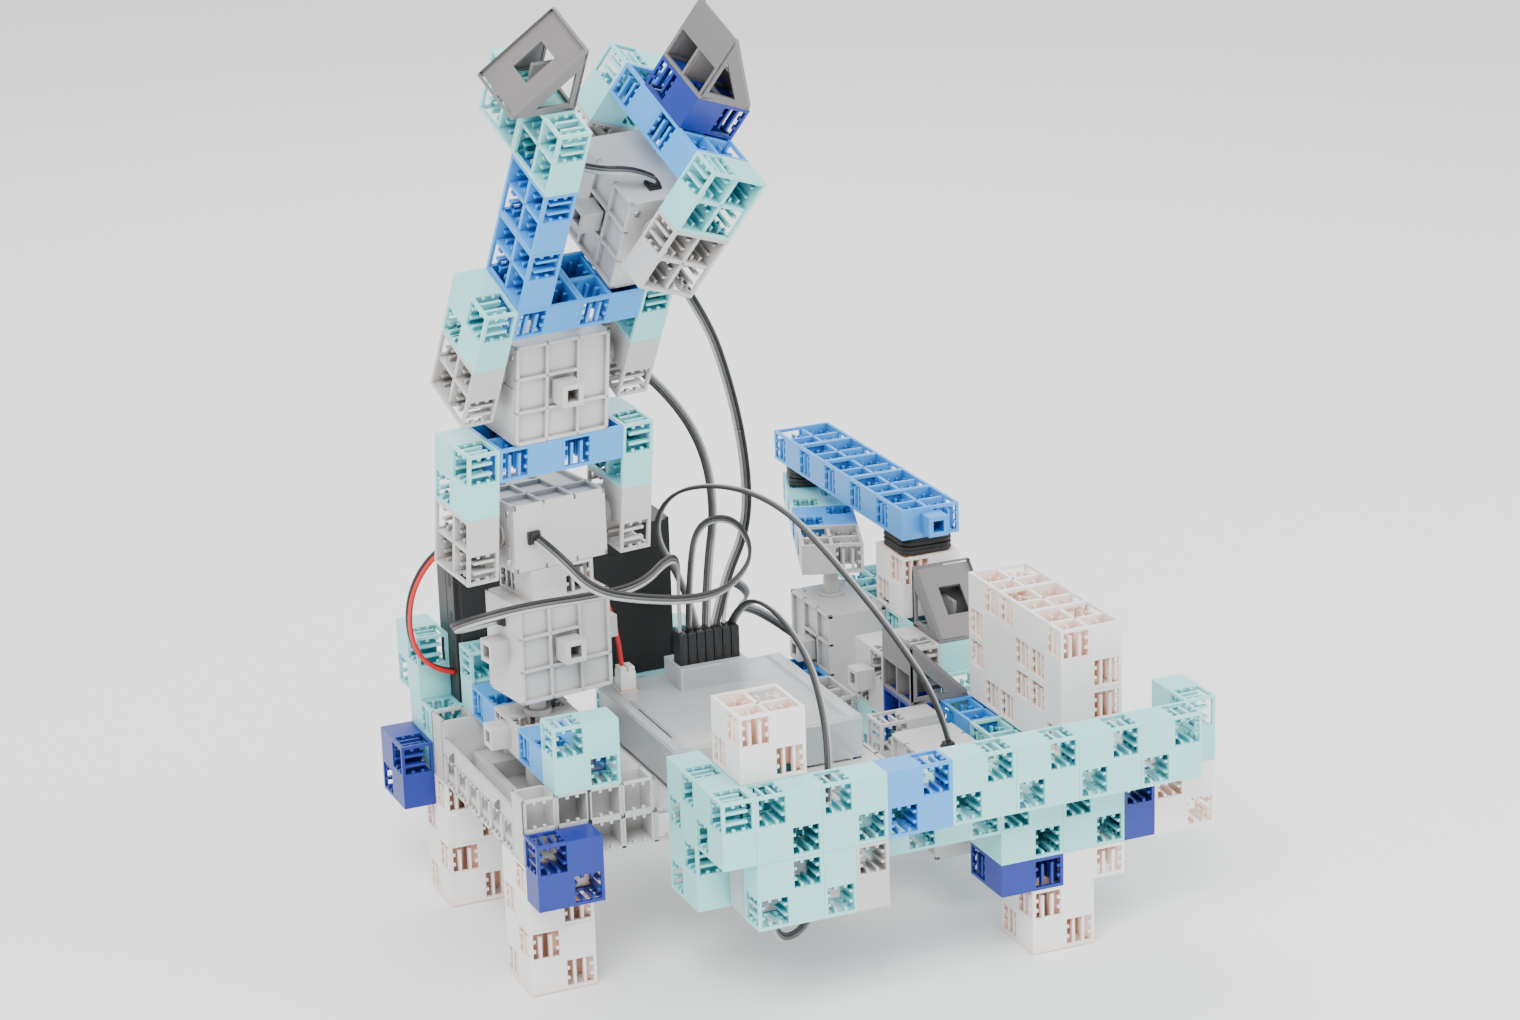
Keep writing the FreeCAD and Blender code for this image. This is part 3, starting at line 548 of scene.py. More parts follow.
# ---- triangular blocks ----
def wedge(piece, low, along, corner, slots):
    """Triangular block: right angle at the foot, slotted leg face, windowed hypotenuse and ends."""
    across = 1 - along
    bm = bmesh.new()
    legs, tip = 2.0, 1.95           # leg length, and where the thin edges end
    near, far = 0.003, 1.997        # ends of the prism

    def point(a, b, c):
        """Corner of the prism: a across from the right angle, b up, c along the prism (cells)."""
        spot = [0.0, 0.0, low[2] + b]
        spot[across] = low[across] + (a if corner < 0 else legs - a)
        spot[along] = low[along] + c
        return bm.verts.new(at(*spot))

    def plate(spans_a, spans_c, place, holes):
        """Flat face over a grid of marks, with holes left at the given grid squares."""
        grid = [[point(*place(a), c) for c in spans_c] for a in spans_a]
        for i in range(len(spans_a) - 1):
            for j in range(len(spans_c) - 1):
                if (i, j) not in holes:
                    bm.faces.new((grid[i][j], grid[i + 1][j], grid[i + 1][j + 1], grid[i][j + 1]))

    rim = 0.10
    c_marks = [near, rim, 1 - rim / 2, 1 + rim / 2, 2 - rim, far]
    if slots:
        up = [near, rim, 0.95, 1.05] + [1.05 + 0.17 * i for i in range(1, 6)] + [tip]
        holes = {(1, 1), (1, 3)}
    else:
        up = [near, rim, 0.9, 1.1, 1.9, tip]
        holes = {(1, 1), (3, 3)}
    plate(up, c_marks, lambda b: (near, b), holes)
    plate([near, rim, 1 - rim / 2, 1 + rim / 2, 2 - rim, tip], c_marks, lambda a: (a, near),
          {(1, 1), (1, 3), (3, 1), (3, 3)})
    slope = [0.09, 0.6, 1.3, 1.86]    # the sloped skin stops at the inner sides of the other two
    plate(slope, [near, 0.62, 1.38, far], lambda a: (a, near + tip - a), {(1, 1)})
    for end in (near, far):
        outer = [point(near, near, end), point(tip, near, end), point(near, tip, end)]
        inner = [point(0.22, 0.22, end), point(1.25, 0.22, end), point(0.22, 1.25, end)]
        for i in range(3):
            j = (i + 1) % 3
            bm.faces.new((outer[i], outer[j], inner[j], inner[i]))
        if end == far:
            bm.faces.new(inner)
    bmesh.ops.remove_doubles(bm, verts=bm.verts, dist=0.00002)
    bmesh.ops.recalc_face_normals(bm, faces=bm.faces)
    spot = [low[0] + 1, low[1] + 1, low[2] + 0.6]
    spot[across] = low[across] + (0.6 if corner < 0 else 1.4)
    heart = at(*spot)
    inward = [f for f in bm.faces if (f.calc_center_median() - heart).dot(f.normal) < 0]
    bmesh.ops.reverse_faces(bm, faces=inward)
    piece.add(moulded(bm, 0.9 * MM), "dark")
    start, end = (0.0, 0.14) if corner < 0 else (1.86, 2.0)
    boxes = [span({across: (low[across] + start, low[across] + end),
                   along: (low[along] + 0.1, low[along] + 1.9),
                   2: (low[2] + 1.13 + 0.17 * i, low[2] + 1.19 + 0.17 * i)})
             for i in range(5 if slots else 0)]
    start, end = (0.08, 1.0) if corner < 0 else (1.0, 1.92)
    boxes.append(span({across: (low[across] + start, low[across] + end),
                       along: (low[along] + 0.94, low[along] + 1.06),
                       2: (low[2] + 0.08, low[2] + 0.95)}))
    piece.boxes(boxes, "dark")


# ---- controller ----
def panel(face, start, columns, rows, wall, paint_boxes):
    """Wall of square openings: face is its normal axis, start its low corner in cells."""
    run = 0 if face == 1 else 1
    for i in range(columns + 1):
        low, high = list(start), list(start)
        low[run] += max(0, i - 0.08)
        high[run] += min(columns, i + 0.08)
        high[face] += wall
        high[2] += rows
        paint_boxes.append((low, high))
    for j in range(rows + 1):
        low, high = list(start), list(start)
        high[run] += columns
        high[face] += wall
        low[2] += max(0, j - 0.09)
        high[2] += min(rows, j + 0.09)
        paint_boxes.append((low, high))
    for i in range(columns):
        for j in range(rows):
            for step in (-0.15, 0.15):
                for edge in (0.08, 0.82):
                    low, high = list(start), list(start)
                    low[run] += i + 0.5 + step - 0.05
                    high[run] += i + 0.5 + step + 0.05
                    high[face] += wall
                    low[2] += j + edge
                    high[2] += j + edge + 0.1
                    paint_boxes.append((low, high))


def controller_frame():
    """Grey tray: two rows of sockets, a trough between them and the seat of the cover."""
    piece = Piece("controller_frame", "base", "grey_plastic")
    e = 0.004
    boxes = []
    for y in (0, 7):
        panel(1, (e, y + (e if y == 0 else 0.88), 4 + e), 4, 2, 0.116, boxes)
        back = y + (0.9 if y == 0 else 0)
        boxes.append(((e, back, 4 + e), (4 - e, back + 0.1, 6 - e)))
        for x in range(5):
            low_x = min(max(e, x - 0.06), 3.88)
            boxes.append(((low_x, y + e, 4.1), (low_x + 0.11, y + 1 - e, 6 - e)))
        boxes.append(((e, y + 0.05, 4.02), (3.95, y + 0.95, 4.12)))
    panel(0, (e, 1, 4 + e), 6, 1, 0.12, boxes)
    boxes += [((e, 1, 4.95), (0.15, 7, 5.45)), ((0.1, 1, 4.05), (4, 7, 4.35)),
              ((2.95, 1, 4.3), (3.95, 7, 6 - e)), ((0.9, 1, 4.3), (1.1, 7, 4.9)),
              ((1.1, 1, 4.3), (2.95, 2.2, 4.9)), ((1.1, 5.8, 4.3), (2.95, 7, 4.9))]
    panel(1, (4, e, 4 + e), 7, 1, 0.12, boxes)
    panel(1, (4, 7.88, 4 + e), 7, 1, 0.116, boxes)
    panel(0, (11.38, 0.02, 4 + e), 7, 1, 0.116, boxes)
    boxes += [((11, e, 4.02), (11.49, 0.12, 5 - e)), ((3.95, 0.05, 4.82), (11.45, 0.95, 4.97)),
              ((3.95, 7.05, 4.82), (11.45, 7.95, 4.97)), ((10.95, 0.9, 4.82), (11.45, 7.1, 4.97)),
              ((3.95, 0.9, 4.82), (4.95, 7.1, 4.97)), ((4.9, 0.9, 4.45), (11, 7.1, 4.55))]
    for x in range(4, 11):
        boxes.append(((x + 0.94, 0.1, 4.1), (x + 1.04, 0.9, 4.9)))
    piece.boxes(boxes, "grey")
    for y in (1.6, 6.4):
        piece.add(cylinder(at(2.0, y, 4.3), at(2.0, y, 5.25), 3.2 * MM), "grey")
    piece.add(cylinder(at(2.0, 4.0, 4.3), at(2.0, 4.0, 5.4), 4.5 * MM), "grey")
    # Painted shade: thin dark grey discs on the tray's end stand for the dark inside its two holes.
    for y in (2.0, 6.0):
        hole = at(0.0, y, 5.2)
        piece.add(cylinder(hole, hole + Vector((0.04 * MM, 0, 0)), 1.6 * MM), "dark")
    return piece.make()


def controller_cover():
    """Frosted clear lid with a raised socket housing, a slit and a rail."""
    piece = Piece("controller_cover", "base", "frosted_plastic")
    e = 0.004
    walls = [((5 + e, 1 + e, 5 + e), (11 - e, 1.12, 6.2)), ((5 + e, 6.88, 5 + e), (11 - e, 7 - e, 6.2)),
             ((5 + e, 1.1, 5 + e), (5.12, 6.9, 6.2)), ((10.88, 1.1, 5 + e), (11 - e, 6.9, 6.2)),
             ((5.45, 1.02, 6.17), (7.0, 6.0, 6.3 - e)), ((5.02, 1.02, 6.17), (5.3, 6.98, 6.3 - e)),
             ((5.3, 1.02, 6.17), (5.46, 1.9, 6.3 - e)), ((5.3, 5.3, 6.17), (5.46, 5.95, 6.3 - e)),
             ((6.0, 5.9, 6.17), (7.05, 6.98, 6.3 - e)), ((5.25, 6.68, 6.17), (6.0, 6.98, 6.3 - e)),
             ((7.0, 1.02, 6.17), (10.98, 5.3, 6.3 - e)), ((9.15, 5.25, 6.17), (10.98, 6.98, 6.3 - e)),
             ((7.0, 6.5, 6.17), (9.2, 6.98, 6.3 - e)),
             ((7.0 + e, 5.2 + e, 6.2), (9.2 - e, 5.32, 7 - e)),
             ((7.0 + e, 6.48, 6.2), (9.2 - e, 6.6 - e, 7 - e)),
             ((7.0 + e, 5.3, 6.2), (7.1, 6.5, 7 - e)), ((9.1, 5.3, 6.2), (9.2 - e, 6.5, 7 - e)),
             ((7.1, 5.3, 6.9), (9.1, 5.52, 7 - e)), ((7.1, 6.3, 6.9), (9.1, 6.5, 7 - e)),
             ((10.4, 1.02, 6.28), (10.6, 6.9, 6.296)), ((7.2, 1.6, 6.28), (9.8, 1.7, 6.296)),
             ((7.2, 4.4, 6.28), (9.8, 4.5, 6.296))]
    piece.boxes(walls, "clear")
    return piece.make()


def controller_board():
    """Circuit board with chips and headers."""
    piece = Piece("controller_board", "base", "circuit_board")
    piece.boxes([((5.3, 1.3, 5.25), (10.7, 6.7, 5.40))], "board")
    piece.boxes([((7.1, 5.57, 5.40), (9.1, 6.23, 6.3)), ((7.0, 2.2, 5.40), (8.6, 3.8, 5.62)),
                 ((9.3, 2.0, 5.40), (10.2, 4.6, 5.9)), ((6.0, 4.3, 5.4), (6.6, 4.9, 5.6))], "black")
    piece.boxes([((5.35, 6.0, 5.40), (5.9, 6.6, 6.3)), ((5.7, 1.5, 5.4), (6.7, 2.4, 5.9))], "white")
    return piece.make()


def plugs():
    """Seven black crimp housings with their latches, and the battery's white plug."""
    piece = Piece("lead_plugs", "base", "black_plastic")
    for i in range(7):
        x = PLUG_X + i * PLUG_PITCH
        piece.boxes([((x, 5.62, 6.32), (x + 0.255, 6.18, 7.94)),
                     ((x + 0.05, 5.60, 6.9), (x + 0.2, 5.66, 7.4)),
                     ((x + 0.02, 5.66, 7.9), (x + 0.235, 6.14, 7.95))], "black")
    cluster = piece.make()
    piece = Piece("battery_plug", "base", "white_plastic")
    piece.boxes([((5.38, 6.05, 6.32), (5.87, 6.55, 6.9)), ((5.40, 6.07, 6.88), (5.6, 6.53, 7.04)),
                 ((5.64, 6.07, 6.88), (5.85, 6.53, 7.04))], "white")
    return cluster, piece.make()


def battery():
    """Closed battery box with a lid, thin near-black strips painted as the shade of its grooves and switch
    slots, and its three cells.
    """
    piece = Piece("battery_box", "base", "black_plastic")
    low, high = (1.004, 8.104, 6.004), (7.996, 9.896, 10.796)
    bm = bmesh.new()
    add_box(bm, at(*low), at(*high))
    uprights = [edge for edge in bm.edges
                if abs(edge.verts[0].co.z - edge.verts[1].co.z) > 0.01]
    bmesh.ops.bevel(bm, geom=uprights, offset=1.6 * MM, segments=4, affect="EDGES")
    piece.add(moulded(bm, 1.6 * MM), "black")
    # Painted shade: thin near-black strips stand for the dark of the grooves and switch slots.
    lines = [((1.3, 8.1, 9.9), (7.7, 8.11, 9.96)), ((1.3, 8.1, 6.5), (7.7, 8.11, 6.55)),
             ((0.998, 8.9, 6.3), (1.02, 8.96, 10.5)), ((7.98, 8.9, 6.3), (8.0, 8.96, 10.5))]
    for z in (7.0, 8.3, 9.6):
        lines.append(((0.999, 8.45, z), (1.03, 8.7, z + 0.5)))
    piece.boxes(lines, "rubber")
    box = piece.make()
    cells = Piece("battery_cells", "base", "cell_metal")
    for i in range(3):
        z = 6.93 + 1.47 * i
        cells.add(cylinder(at(1.9, 9.0, z), at(6.85, 9.0, z), 6.8 * MM), "steel")
        cells.add(cylinder(at(6.84, 9.0, z), at(6.95, 9.0, z), 2.6 * MM), "steel")
    return box, cells.make()


def ring_piece(node, body, centres, matrix=HERE):
    """Stacked rubber rings: rounded squares with a hole and a groove."""
    piece = Piece(node, body, "ring_rubber", matrix)
    half, hole, sides = 0.9 * CELL, 0.5 * CELL, 48
    turns = circle(sides)
    for x, y, z in centres:
        bm = bmesh.new()
        loops = []
        for scale, rise in ((1.0, 0.02), (1.0, 0.12), (0.965, 0.15), (1.0, 0.18), (1.0, 0.28)):
            loop = []
            for c, s in turns:
                reach = half * scale * min(1.22, 1 / max(abs(c), abs(s)))
                loop.append(bm.verts.new(at(x, y, z + rise) + Vector((c * reach, s * reach, 0))))
            loops.append(loop)
        for rise in (0.28, 0.02):
            loops.append([bm.verts.new(at(x, y, z + rise) + Vector((c * hole, s * hole, 0)))
                          for c, s in turns])
        loops.append(loops[0])
        for one, two in zip(loops, loops[1:]):
            for i in range(sides):
                j = (i + 1) % sides
                bm.faces.new((one[i], one[j], two[j], two[i]))
        bmesh.ops.recalc_face_normals(bm, faces=bm.faces)
        piece.add(moulded(bm), "rubber")
    return piece.make()


def left_group():
    """Legs, side blocks and the blocks on the controller."""
    legs = blocks("leg_cubes", "base", "white_plastic",
                  [((0, y, z), "white") for y in (0, 7) for z in (0, 2)]
                  + [(on_bar(9, 1, 0), "white")], CUBE, 2, 1)
    legs.make()
    sides = Piece("side_half_blocks", "base", "navy_plastic")
    sides.block((0, -1, 3), TALL, 1, 1, "navy", 0)
    sides.block((-1, 8, 3), SIDE, 0, 1, "navy")
    sides.make()
    base = Piece("base_half_blocks", "base", "mint_plastic")
    base.block((1, 0, 6), TALL, 1, 1, "mint")
    base.block((1, 7, 6), TALL, 1, -1, "mint")
    base.block((1, 1, 6), FLAT, 2, -1, "blue")
    base.block((1, 5, 6), FLAT, 2, -1, "blue")
    base.make()
    horn = Piece("yaw_horn_block", "base", "grey_plastic")
    horn.block((1, 3, 6), FLAT, 2, -1, "grey")
    horn.pin((2, 4, 7), 2, 1, 7.0)
    horn.peg((1.0, 4.0, 6.5), 0, -1, "grey")
    horn.make()
    stand = Piece("battery_stand_blocks", "base", "mint_plastic")
    stand.block((0, 8, 4), CUBE, 2, -1, "mint")
    stand.block((6, 8, 4), CUBE, 2, -1, "mint")
    stand.block((8, 8, 5), SIDE, 0, -1, "mint")
    stand.block((0, 9, 6), SIDE, 0, 1, "mint")
    stand.make()


def front_bar():
    """Blocks of the bar, the blocks under it and the payload on its left end."""
    paints = ["mint", "mint", "blue", "mint", "mint", "mint", "mint"]
    front = [(on_bar(2 * i, 0, 5), paint, 0 if i < 2 else 1) for i, paint in enumerate(paints)]
    blocks("bar_front_half_blocks", "base", "mint_plastic", front, TALL, 1, 1).make()
    ends = [(on_bar(*p), "mint") for p in ((-1, 0, 5), (-1, 2, 5), (-1, 2, 3), (14, 1, 5))]
    blocks("bar_end_half_blocks", "base", "mint_plastic", ends, SIDE, 0, 1).make()
    lower = [(on_bar(0, 0, 3), "mint", 1), (on_bar(8, 1, 3), "mint"), (on_bar(10, 1, 3), "mint"),
             (on_bar(13, 1, 3), "white"), (on_bar(4, 1, 4), "mint"), (on_bar(6, 1, 4), "mint")]
    blocks("bar_lower_half_blocks", "base", "mint_plastic", lower, TALL, 1, 1).make()
    narrow = [(on_bar(2, 0, 3), "mint", 1), (on_bar(3, 0, 3), "grey"), (on_bar(12, 1, 3), "navy")]
    blocks("bar_narrow_blocks", "base", "mint_plastic", narrow, POST, 1, 1).make()
    feet = [(on_bar(8, 1, 2), "navy"), (on_bar(10, 1, 2), "white")]
    blocks("bar_foot_half_blocks", "base", "navy_plastic", feet, FLAT, 2, 1).make()
    stand = [(on_bar(0, 1, 5), "mint"), (on_bar(0, 3, 4), "mint")]
    blocks("payload_stand_cubes", "base", "mint_plastic", stand, CUBE, 2, 1).make()
    blocks("payload_cube", "base", "white_plastic", [(on_bar(0, 1, 7), "white")], CUBE, 2, 1).make()
    sensor = Piece("sensor_block", "base", "frosted_plastic")
    x, y, z = on_bar(0, 1, 3)
    e = 0.004
    sensor.boxes([((x + e, y + e, z + e), (x + 2 - e, y + 0.12, z + 2 - e)),
                  ((x + e, y + 0.88, z + e), (x + 2 - e, y + 1 - e, z + 2 - e)),
                  ((x + e, y + 0.1, z + e), (x + 0.12, y + 0.9, z + 2 - e)),
                  ((x + 1.88, y + 0.1, z + e), (x + 2 - e, y + 0.9, z + 2 - e)),
                  ((x + 0.1, y + 0.1, z + 1.85), (x + 1.9, y + 0.9, z + 2 - e)),
                  ((x + 0.1, y + 0.1, z + e), (x + 1.9, y + 0.9, z + 0.15))], "clear")
    sensor.boxes([((x + 0.3, y + 0.4, z + 0.2), (x + 1.7, y + 0.5, z + 1.8))], "board")
    sensor.make()


def decks():
    """Deck, block store, guides and the feeder's supports."""
    places = [((15, -2, 4), "mint"), ((15, 0, 4), "mint"), ((15, 2, 4), "blue"), ((17, -2, 4), "mint"),
              ((17, 0, 4), "mint"), ((17, 2, 4), "mint"), ((16, 4, 4), "mint")]
    deck = blocks("deck_half_blocks", "base", "mint_plastic", places, FLAT, 2, 1)
    deck.block((15, -3, 3), TALL, 1, 1, "mint")
    deck.make()
    upper = [((16, y, 5), "mint") for y in (6, 8, 10, 12)]
    blocks("feeder_deck_half_blocks", "base", "mint_plastic", upper, FLAT, 2, 1).make()
    stands = [(p, "mint") for p in ((15, 0, 2), (13, -3, 3), (14, 6, 2), (16, 10, 3))]
    blocks("deck_stand_cubes", "base", "mint_plastic", stands, CUBE, 2, 1).make()
    store = [((16, y, z), "white", (y // 2 + z // 2) % 2) for y in (-2, 0, 2) for z in (5, 7)]
    blocks("store_cubes", "base", "white_plastic", store, CUBE, 2, 1).make()
    guide = Piece("guide_wedge", "base", "dark_grey_plastic")
    wedge(guide, (16, 6, 6), 0, 1, False)
    guide.make()
    stop = Piece("gate_stop_blocks", "base", "grey_plastic")
    stop.block((14, 6, 4), SIDE, 0, 1, "grey")
    stop.block((15, 6, 4), SIDE, 0, -1, "grey")
    stop.peg((14, 7, 5), 0, -1, "grey")
    stop.make()
    side = [((12, 10, 3), "blue"), ((12, 8, 3), "grey"), ((12, 4, 2), "navy")]
    blocks("feeder_side_half_blocks", "base", "blue_plastic", side, FLAT, 2, 1).make()
    leg = Piece("feeder_leg_blocks", "base", "white_plastic")
    leg.block((14, 10, 0), CUBE, 2, 1, "white")
    leg.block((14, 10, 2), FLAT, 2, 1, "white")
    leg.block((14, 8, 2), FLAT, 2, 1, "white")
    leg.make()


def feeder():
    """Servos on the base, crank, rod and slider."""
    x, y = FEEDER_SHAFT
    feeder_servo = ((x - 1, y - 2, 3), 2, 0, (1, 1))
    gate_servo = ((GATE_X - 1, -0.7, 2), 1, 0, (2, 1))
    cases = Piece("fixed_servo_cases", "base", "grey_plastic")
    servo(cases, *feeder_servo, 1, [(0, -1)])
    servo(cases, *gate_servo, 1, [(0, -1)])
    cases.make()
    cores = Piece("fixed_servo_cores", "base", "black_plastic")
    servo_core(cores, *feeder_servo, -0.9)
    servo_core(cores, *gate_servo, -0.4)
    cores.make()
    horn = Piece("crank_horn_block", "crank", "grey_plastic", CRANK)
    horn.block((x - 1, y - 1, 7), FLAT, 2, 1, "grey")
    horn.pin((x, y, 7), 2, -1, 10.0)
    horn.make()
    arm = [((x - 1, y - 1 + step, 7), paint) for step, paint in ((2, "blue"), (4, "mint"), (6, "mint"))]
    blocks("crank_half_blocks", "crank", "mint_plastic", arm, FLAT, 2, -1, CRANK).make()
    stack = [(RING[0], RING[1], 8), (RING[0], RING[1], 8.3)]
    ring_piece("crank_rings", "crank", stack, turn((RING[0], RING[1], 8), "Z", -math.degrees(CRANK_ANGLE)))
    ring_piece("slider_rings", "slider", [(RING[0], RING[1] - 8, 8), (RING[0], RING[1] - 8, 8.3)])
    rod = blocks("rod_half_blocks", "rod", "blue_plastic",
                 [((RING[0] - 1, RING[1] - 1 - 2 * i, 8.6), "blue") for i in range(5)], FLAT, 2, 1)
    rod.peg((RING[0], RING[1] - 9, 9.1), 1, -1, "blue")
    rod.make()
    blocks("slider_cube", "slider", "white_plastic", [((RING[0] - 1, RING[1] - 9, 6), "white")],
           CUBE, 2, -1).make()
    horn = Piece("gate_horn_block", "gate", "grey_plastic")
    horn.block((GATE_X - 1, 3, 3), TALL, 1, 1, "grey")
    horn.pin((GATE_X, 3, 4), 1, -1, 7.0)
    horn.make()
    blocks("gate_half_block", "gate", "navy_plastic", [((14, 4, 3), "navy")], SIDE, 0, -1).make()
    gate = Piece("gate_wedge", "gate", "dark_grey_plastic")
    wedge(gate, (14, 4, 5), 1, -1, True)
    gate.make()


def yoke(body, prefix, axis_height, matrix):
    """Horn blocks and half blocks of one yoke."""
    front = YAW_AXIS[1] - 1
    sides = ((YOKE_MIDDLE - 3, 1), (YOKE_MIDDLE + 2, -1))
    horns = Piece(prefix + "_horn_blocks", body, "grey_plastic", matrix)
    halves = Piece(prefix + "_half_blocks", body, "mint_plastic", matrix)
    for x, sign in sides:
        horns.block((x, front, axis_height - 1), SIDE, 0, -sign, "grey", 1)
        horns.pin((x + (1 if sign > 0 else 0), front + 1, axis_height), 0, sign, 5.0)
        halves.block((x, front, axis_height + 1), SIDE, 0, sign, "mint", 0)
    for x in (YOKE_MIDDLE - 2, YOKE_MIDDLE):
        halves.block((x, front, axis_height + 2), FLAT, 2, 1, "blue", 1)
    horns.make()
    halves.make()


def arm():
    """Turntable, two yokes, gripper finger and moving jaw."""
    left, front = YAW_AXIS[0] - 1, YAW_AXIS[1] - 1
    bridge = UPPER_AXIS + 3
    yaw_servo = ((left, front, 7.7), 2, 1, (0, -1))
    low_servo = ((left, front, 11.7), 0, 2, (1, -1))
    high_servo = ((left, front, LOWER_AXIS + 3), 0, 1, (2, 1))
    jaw_servo = ((JAW_X - 1, JAW_FACE, bridge), 1, 0, (2, 1))
    cases = Piece("turntable_servo_cases", "turntable", "grey_plastic", SWING)
    servo(cases, *yaw_servo, -1, [(0, -1), (0, 1), (1, -1)])
    servo(cases, *low_servo, -1, [(1, 1)], True)
    cases.make()
    cores = Piece("turntable_servo_cores", "turntable", "black_plastic", SWING)
    servo_core(cores, *yaw_servo, 0.9)
    servo_core(cores, *low_servo, -0.9)
    cores.make()
    blocks("turntable_spacer_block", "turntable", "grey_plastic",
           [((left + 0.5, front, 10.7), "grey")], FLAT, 2, 1, SWING).make()
    yoke("lower_arm", "lower_yoke", LOWER_AXIS, LOWER)
    case = Piece("upper_tilt_servo_case", "lower_arm", "grey_plastic", LOWER)
    servo(case, *high_servo, -1, [(1, -1)], True)
    case.make()
    core = Piece("upper_tilt_servo_core", "lower_arm", "black_plastic", LOWER)
    servo_core(core, *high_servo, 0.9)
    core.make()
    yoke("upper_arm", "upper_yoke", UPPER_AXIS, UPPER)
    x = YOKE_MIDDLE - 2
    finger = [((x, front, bridge), "blue"), ((x, front, bridge + 2), "blue"),
              ((x, front, bridge + 4), "mint"), ((x, front + 2, bridge + 4), "mint")]
    blocks("fixed_finger_blocks", "upper_arm", "blue_plastic", finger, SIDE, 0, -1, UPPER).make()
    tip = Piece("fixed_finger_wedge", "upper_arm", "dark_grey_plastic", UPPER)
    wedge(tip, (x - 1, front + 1, bridge + 6), 1, 1, True)
    tip.make()
    case = Piece("jaw_servo_case", "upper_arm", "grey_plastic", UPPER)
    servo(case, *jaw_servo, -1, [(0, -1)], True)
    case.make()
    core = Piece("jaw_servo_core", "upper_arm", "black_plastic", UPPER)
    servo_core(core, *jaw_servo, -0.9)
    core.make()
    horns = Piece("jaw_horn_blocks", "jaw", "grey_plastic", JAW)
    halves = Piece("jaw_half_blocks", "jaw", "blue_plastic", JAW)
    foot, x = JAW_AXIS - 1, JAW_X - 1
    for y, sign, neck in ((JAW_FRONT, 1, 6.5), (JAW_FRONT + 5, -1, 3.5)):
        horns.block((x, y, foot), TALL, 1, -sign, "grey")
        horns.pin((JAW_X, y + (1 if sign > 0 else 0), JAW_AXIS), 1, sign, neck)
        halves.block((x, y, foot + 2), TALL, 1, -sign, "mint")
    halves.block((x, JAW_FRONT + 1, foot + 3), FLAT, 2, 1, "blue")
    halves.block((x, JAW_FRONT + 3, foot + 3), FLAT, 2, 1, "blue")
    halves.block((x, JAW_FRONT + 2, foot + 4), FLAT, 2, -1, "navy")
    horns.make()
    halves.make()
    tip = Piece("jaw_wedge", "jaw", "dark_grey_plastic", JAW)
    wedge(tip, (x, JAW_FRONT + 2, foot + 5), 1, -1, True)
    tip.make()


# ---- leads: points in cells; a fourth value is the arm level that the point is placed on ----
plug_x = [PLUG_X + 0.13 + i * PLUG_PITCH for i in range(7)]
JAW_TOP = [(4.5, 3.85, 23.94, 2), (3.9, 3.85, 24.35, 2), (2.75, 4.3, 24.2, 2), (2.6, 6.0, 23.4, 2),
           (2.7, 8.0, 22.4, 2), (4.3, 8.3, 21.2, 2), (6.0, 7.5, 20.3, 2), (6.374, 4.152, 20.193)]
JAW_MIDDLE = [(6.374, 4.152, 20.193), (7.0, 2.4, 18.8), (8.4, 3.9, 15.8),
              (8.9, 4.65, 14.4)]
JAW_FOOT = [(8.9, 4.65, 14.4), (9.4, 5.4, 13.0), (9.7, 6.2, 10.8),
            (8.9, 6.2, 9.2), (plug_x[4], 5.9, PLUG_TOP)]
UPPER_TOP = [(3.4, 4.0, 18.94, 1), (3.5, 4.7, 19.4, 1), (3.9, 6.0, 19.0, 1), (4.9, 6.9, 17.7, 1),
             (5.855, 6.747, 16.808)]
UPPER_FOOT = [(5.855, 6.747, 16.808), (7.2, 6.8, 15.6), (8.7, 7.2, 13.5),
              (9.1, 7.2, 11.3), (8.5, 6.6, 9.4), (plug_x[3], 5.9, PLUG_TOP)]
LOWER_LEAD = [(1.6, 2.74, 12.7, 0), (1.65, 1.7, 12.5, 0), (2.4, 1.1, 11.4, 0), (4.1, 1.2, 10.8, 0),
              (6.4, 2.4, 10.2), (8.1, 3.7, 9.9), (9.4, 4.9, 10.4),
              (9.3, 6.2, 11.2), (8.2, 6.5, 11.1), (7.6, 5.8, 9.8),
              (plug_x[1], 5.9, PLUG_TOP)]
YAW_LEAD = [(0.74, 4.0, 10.1, 0), (-0.3, 3.9, 10.1, 0), (-1.2, 3.1, 10.5, 0), (-0.6, 2.1, 11.0, 0),
            (0.9, 1.9, 11.1, 0), (2.9, 2.0, 10.9, 0), (4.9, 2.7, 10.8),
            (6.3, 4.1, 11.0), (7.1, 5.3, 10.4), (7.25, 5.85, 9.2),
            (plug_x[0], 5.9, PLUG_TOP)]
GATE_LEAD = [(13.5, 0.4, 5.24), (13.3, 0.6, 6.4), (12.3, 1.3, 8.4),
             (10.9, 2.3, 10.6), (9.9, 3.7, 12.1), (8.7, 5.2, 12.6),
             (7.4, 6.6, 12.2), (7.0, 7.2, 10.7), (7.7, 6.5, 9.3),
             (plug_x[2], 5.9, PLUG_TOP)]
FEEDER_LEAD = [(15.0, 13.24, 3.6), (14.8, 14.3, 3.8), (13.6, 14.6, 4.8),
               (12.3, 13.4, 5.6), (11.6, 11.4, 6.4), (11.0, 9.4, 7.4),
               (10.1, 7.6, 8.4), (9.2, 6.7, 9.1), (plug_x[5], 5.9, PLUG_TOP)]
SENSOR_LEAD = [(6.0, -3.5, 2.98), (6.15, -3.3, 1.75), (7.4, -2.7, 1.6),
               (8.3, -2.0, 2.8), (8.8, -1.3, 4.5), (9.2, -0.6, 6.2),
               (9.6, 0.9, 7.3), (9.9, 2.6, 8.0), (9.7, 4.3, 8.8),
               (9.2, 5.4, 8.9), (plug_x[6], 5.9, PLUG_TOP)]
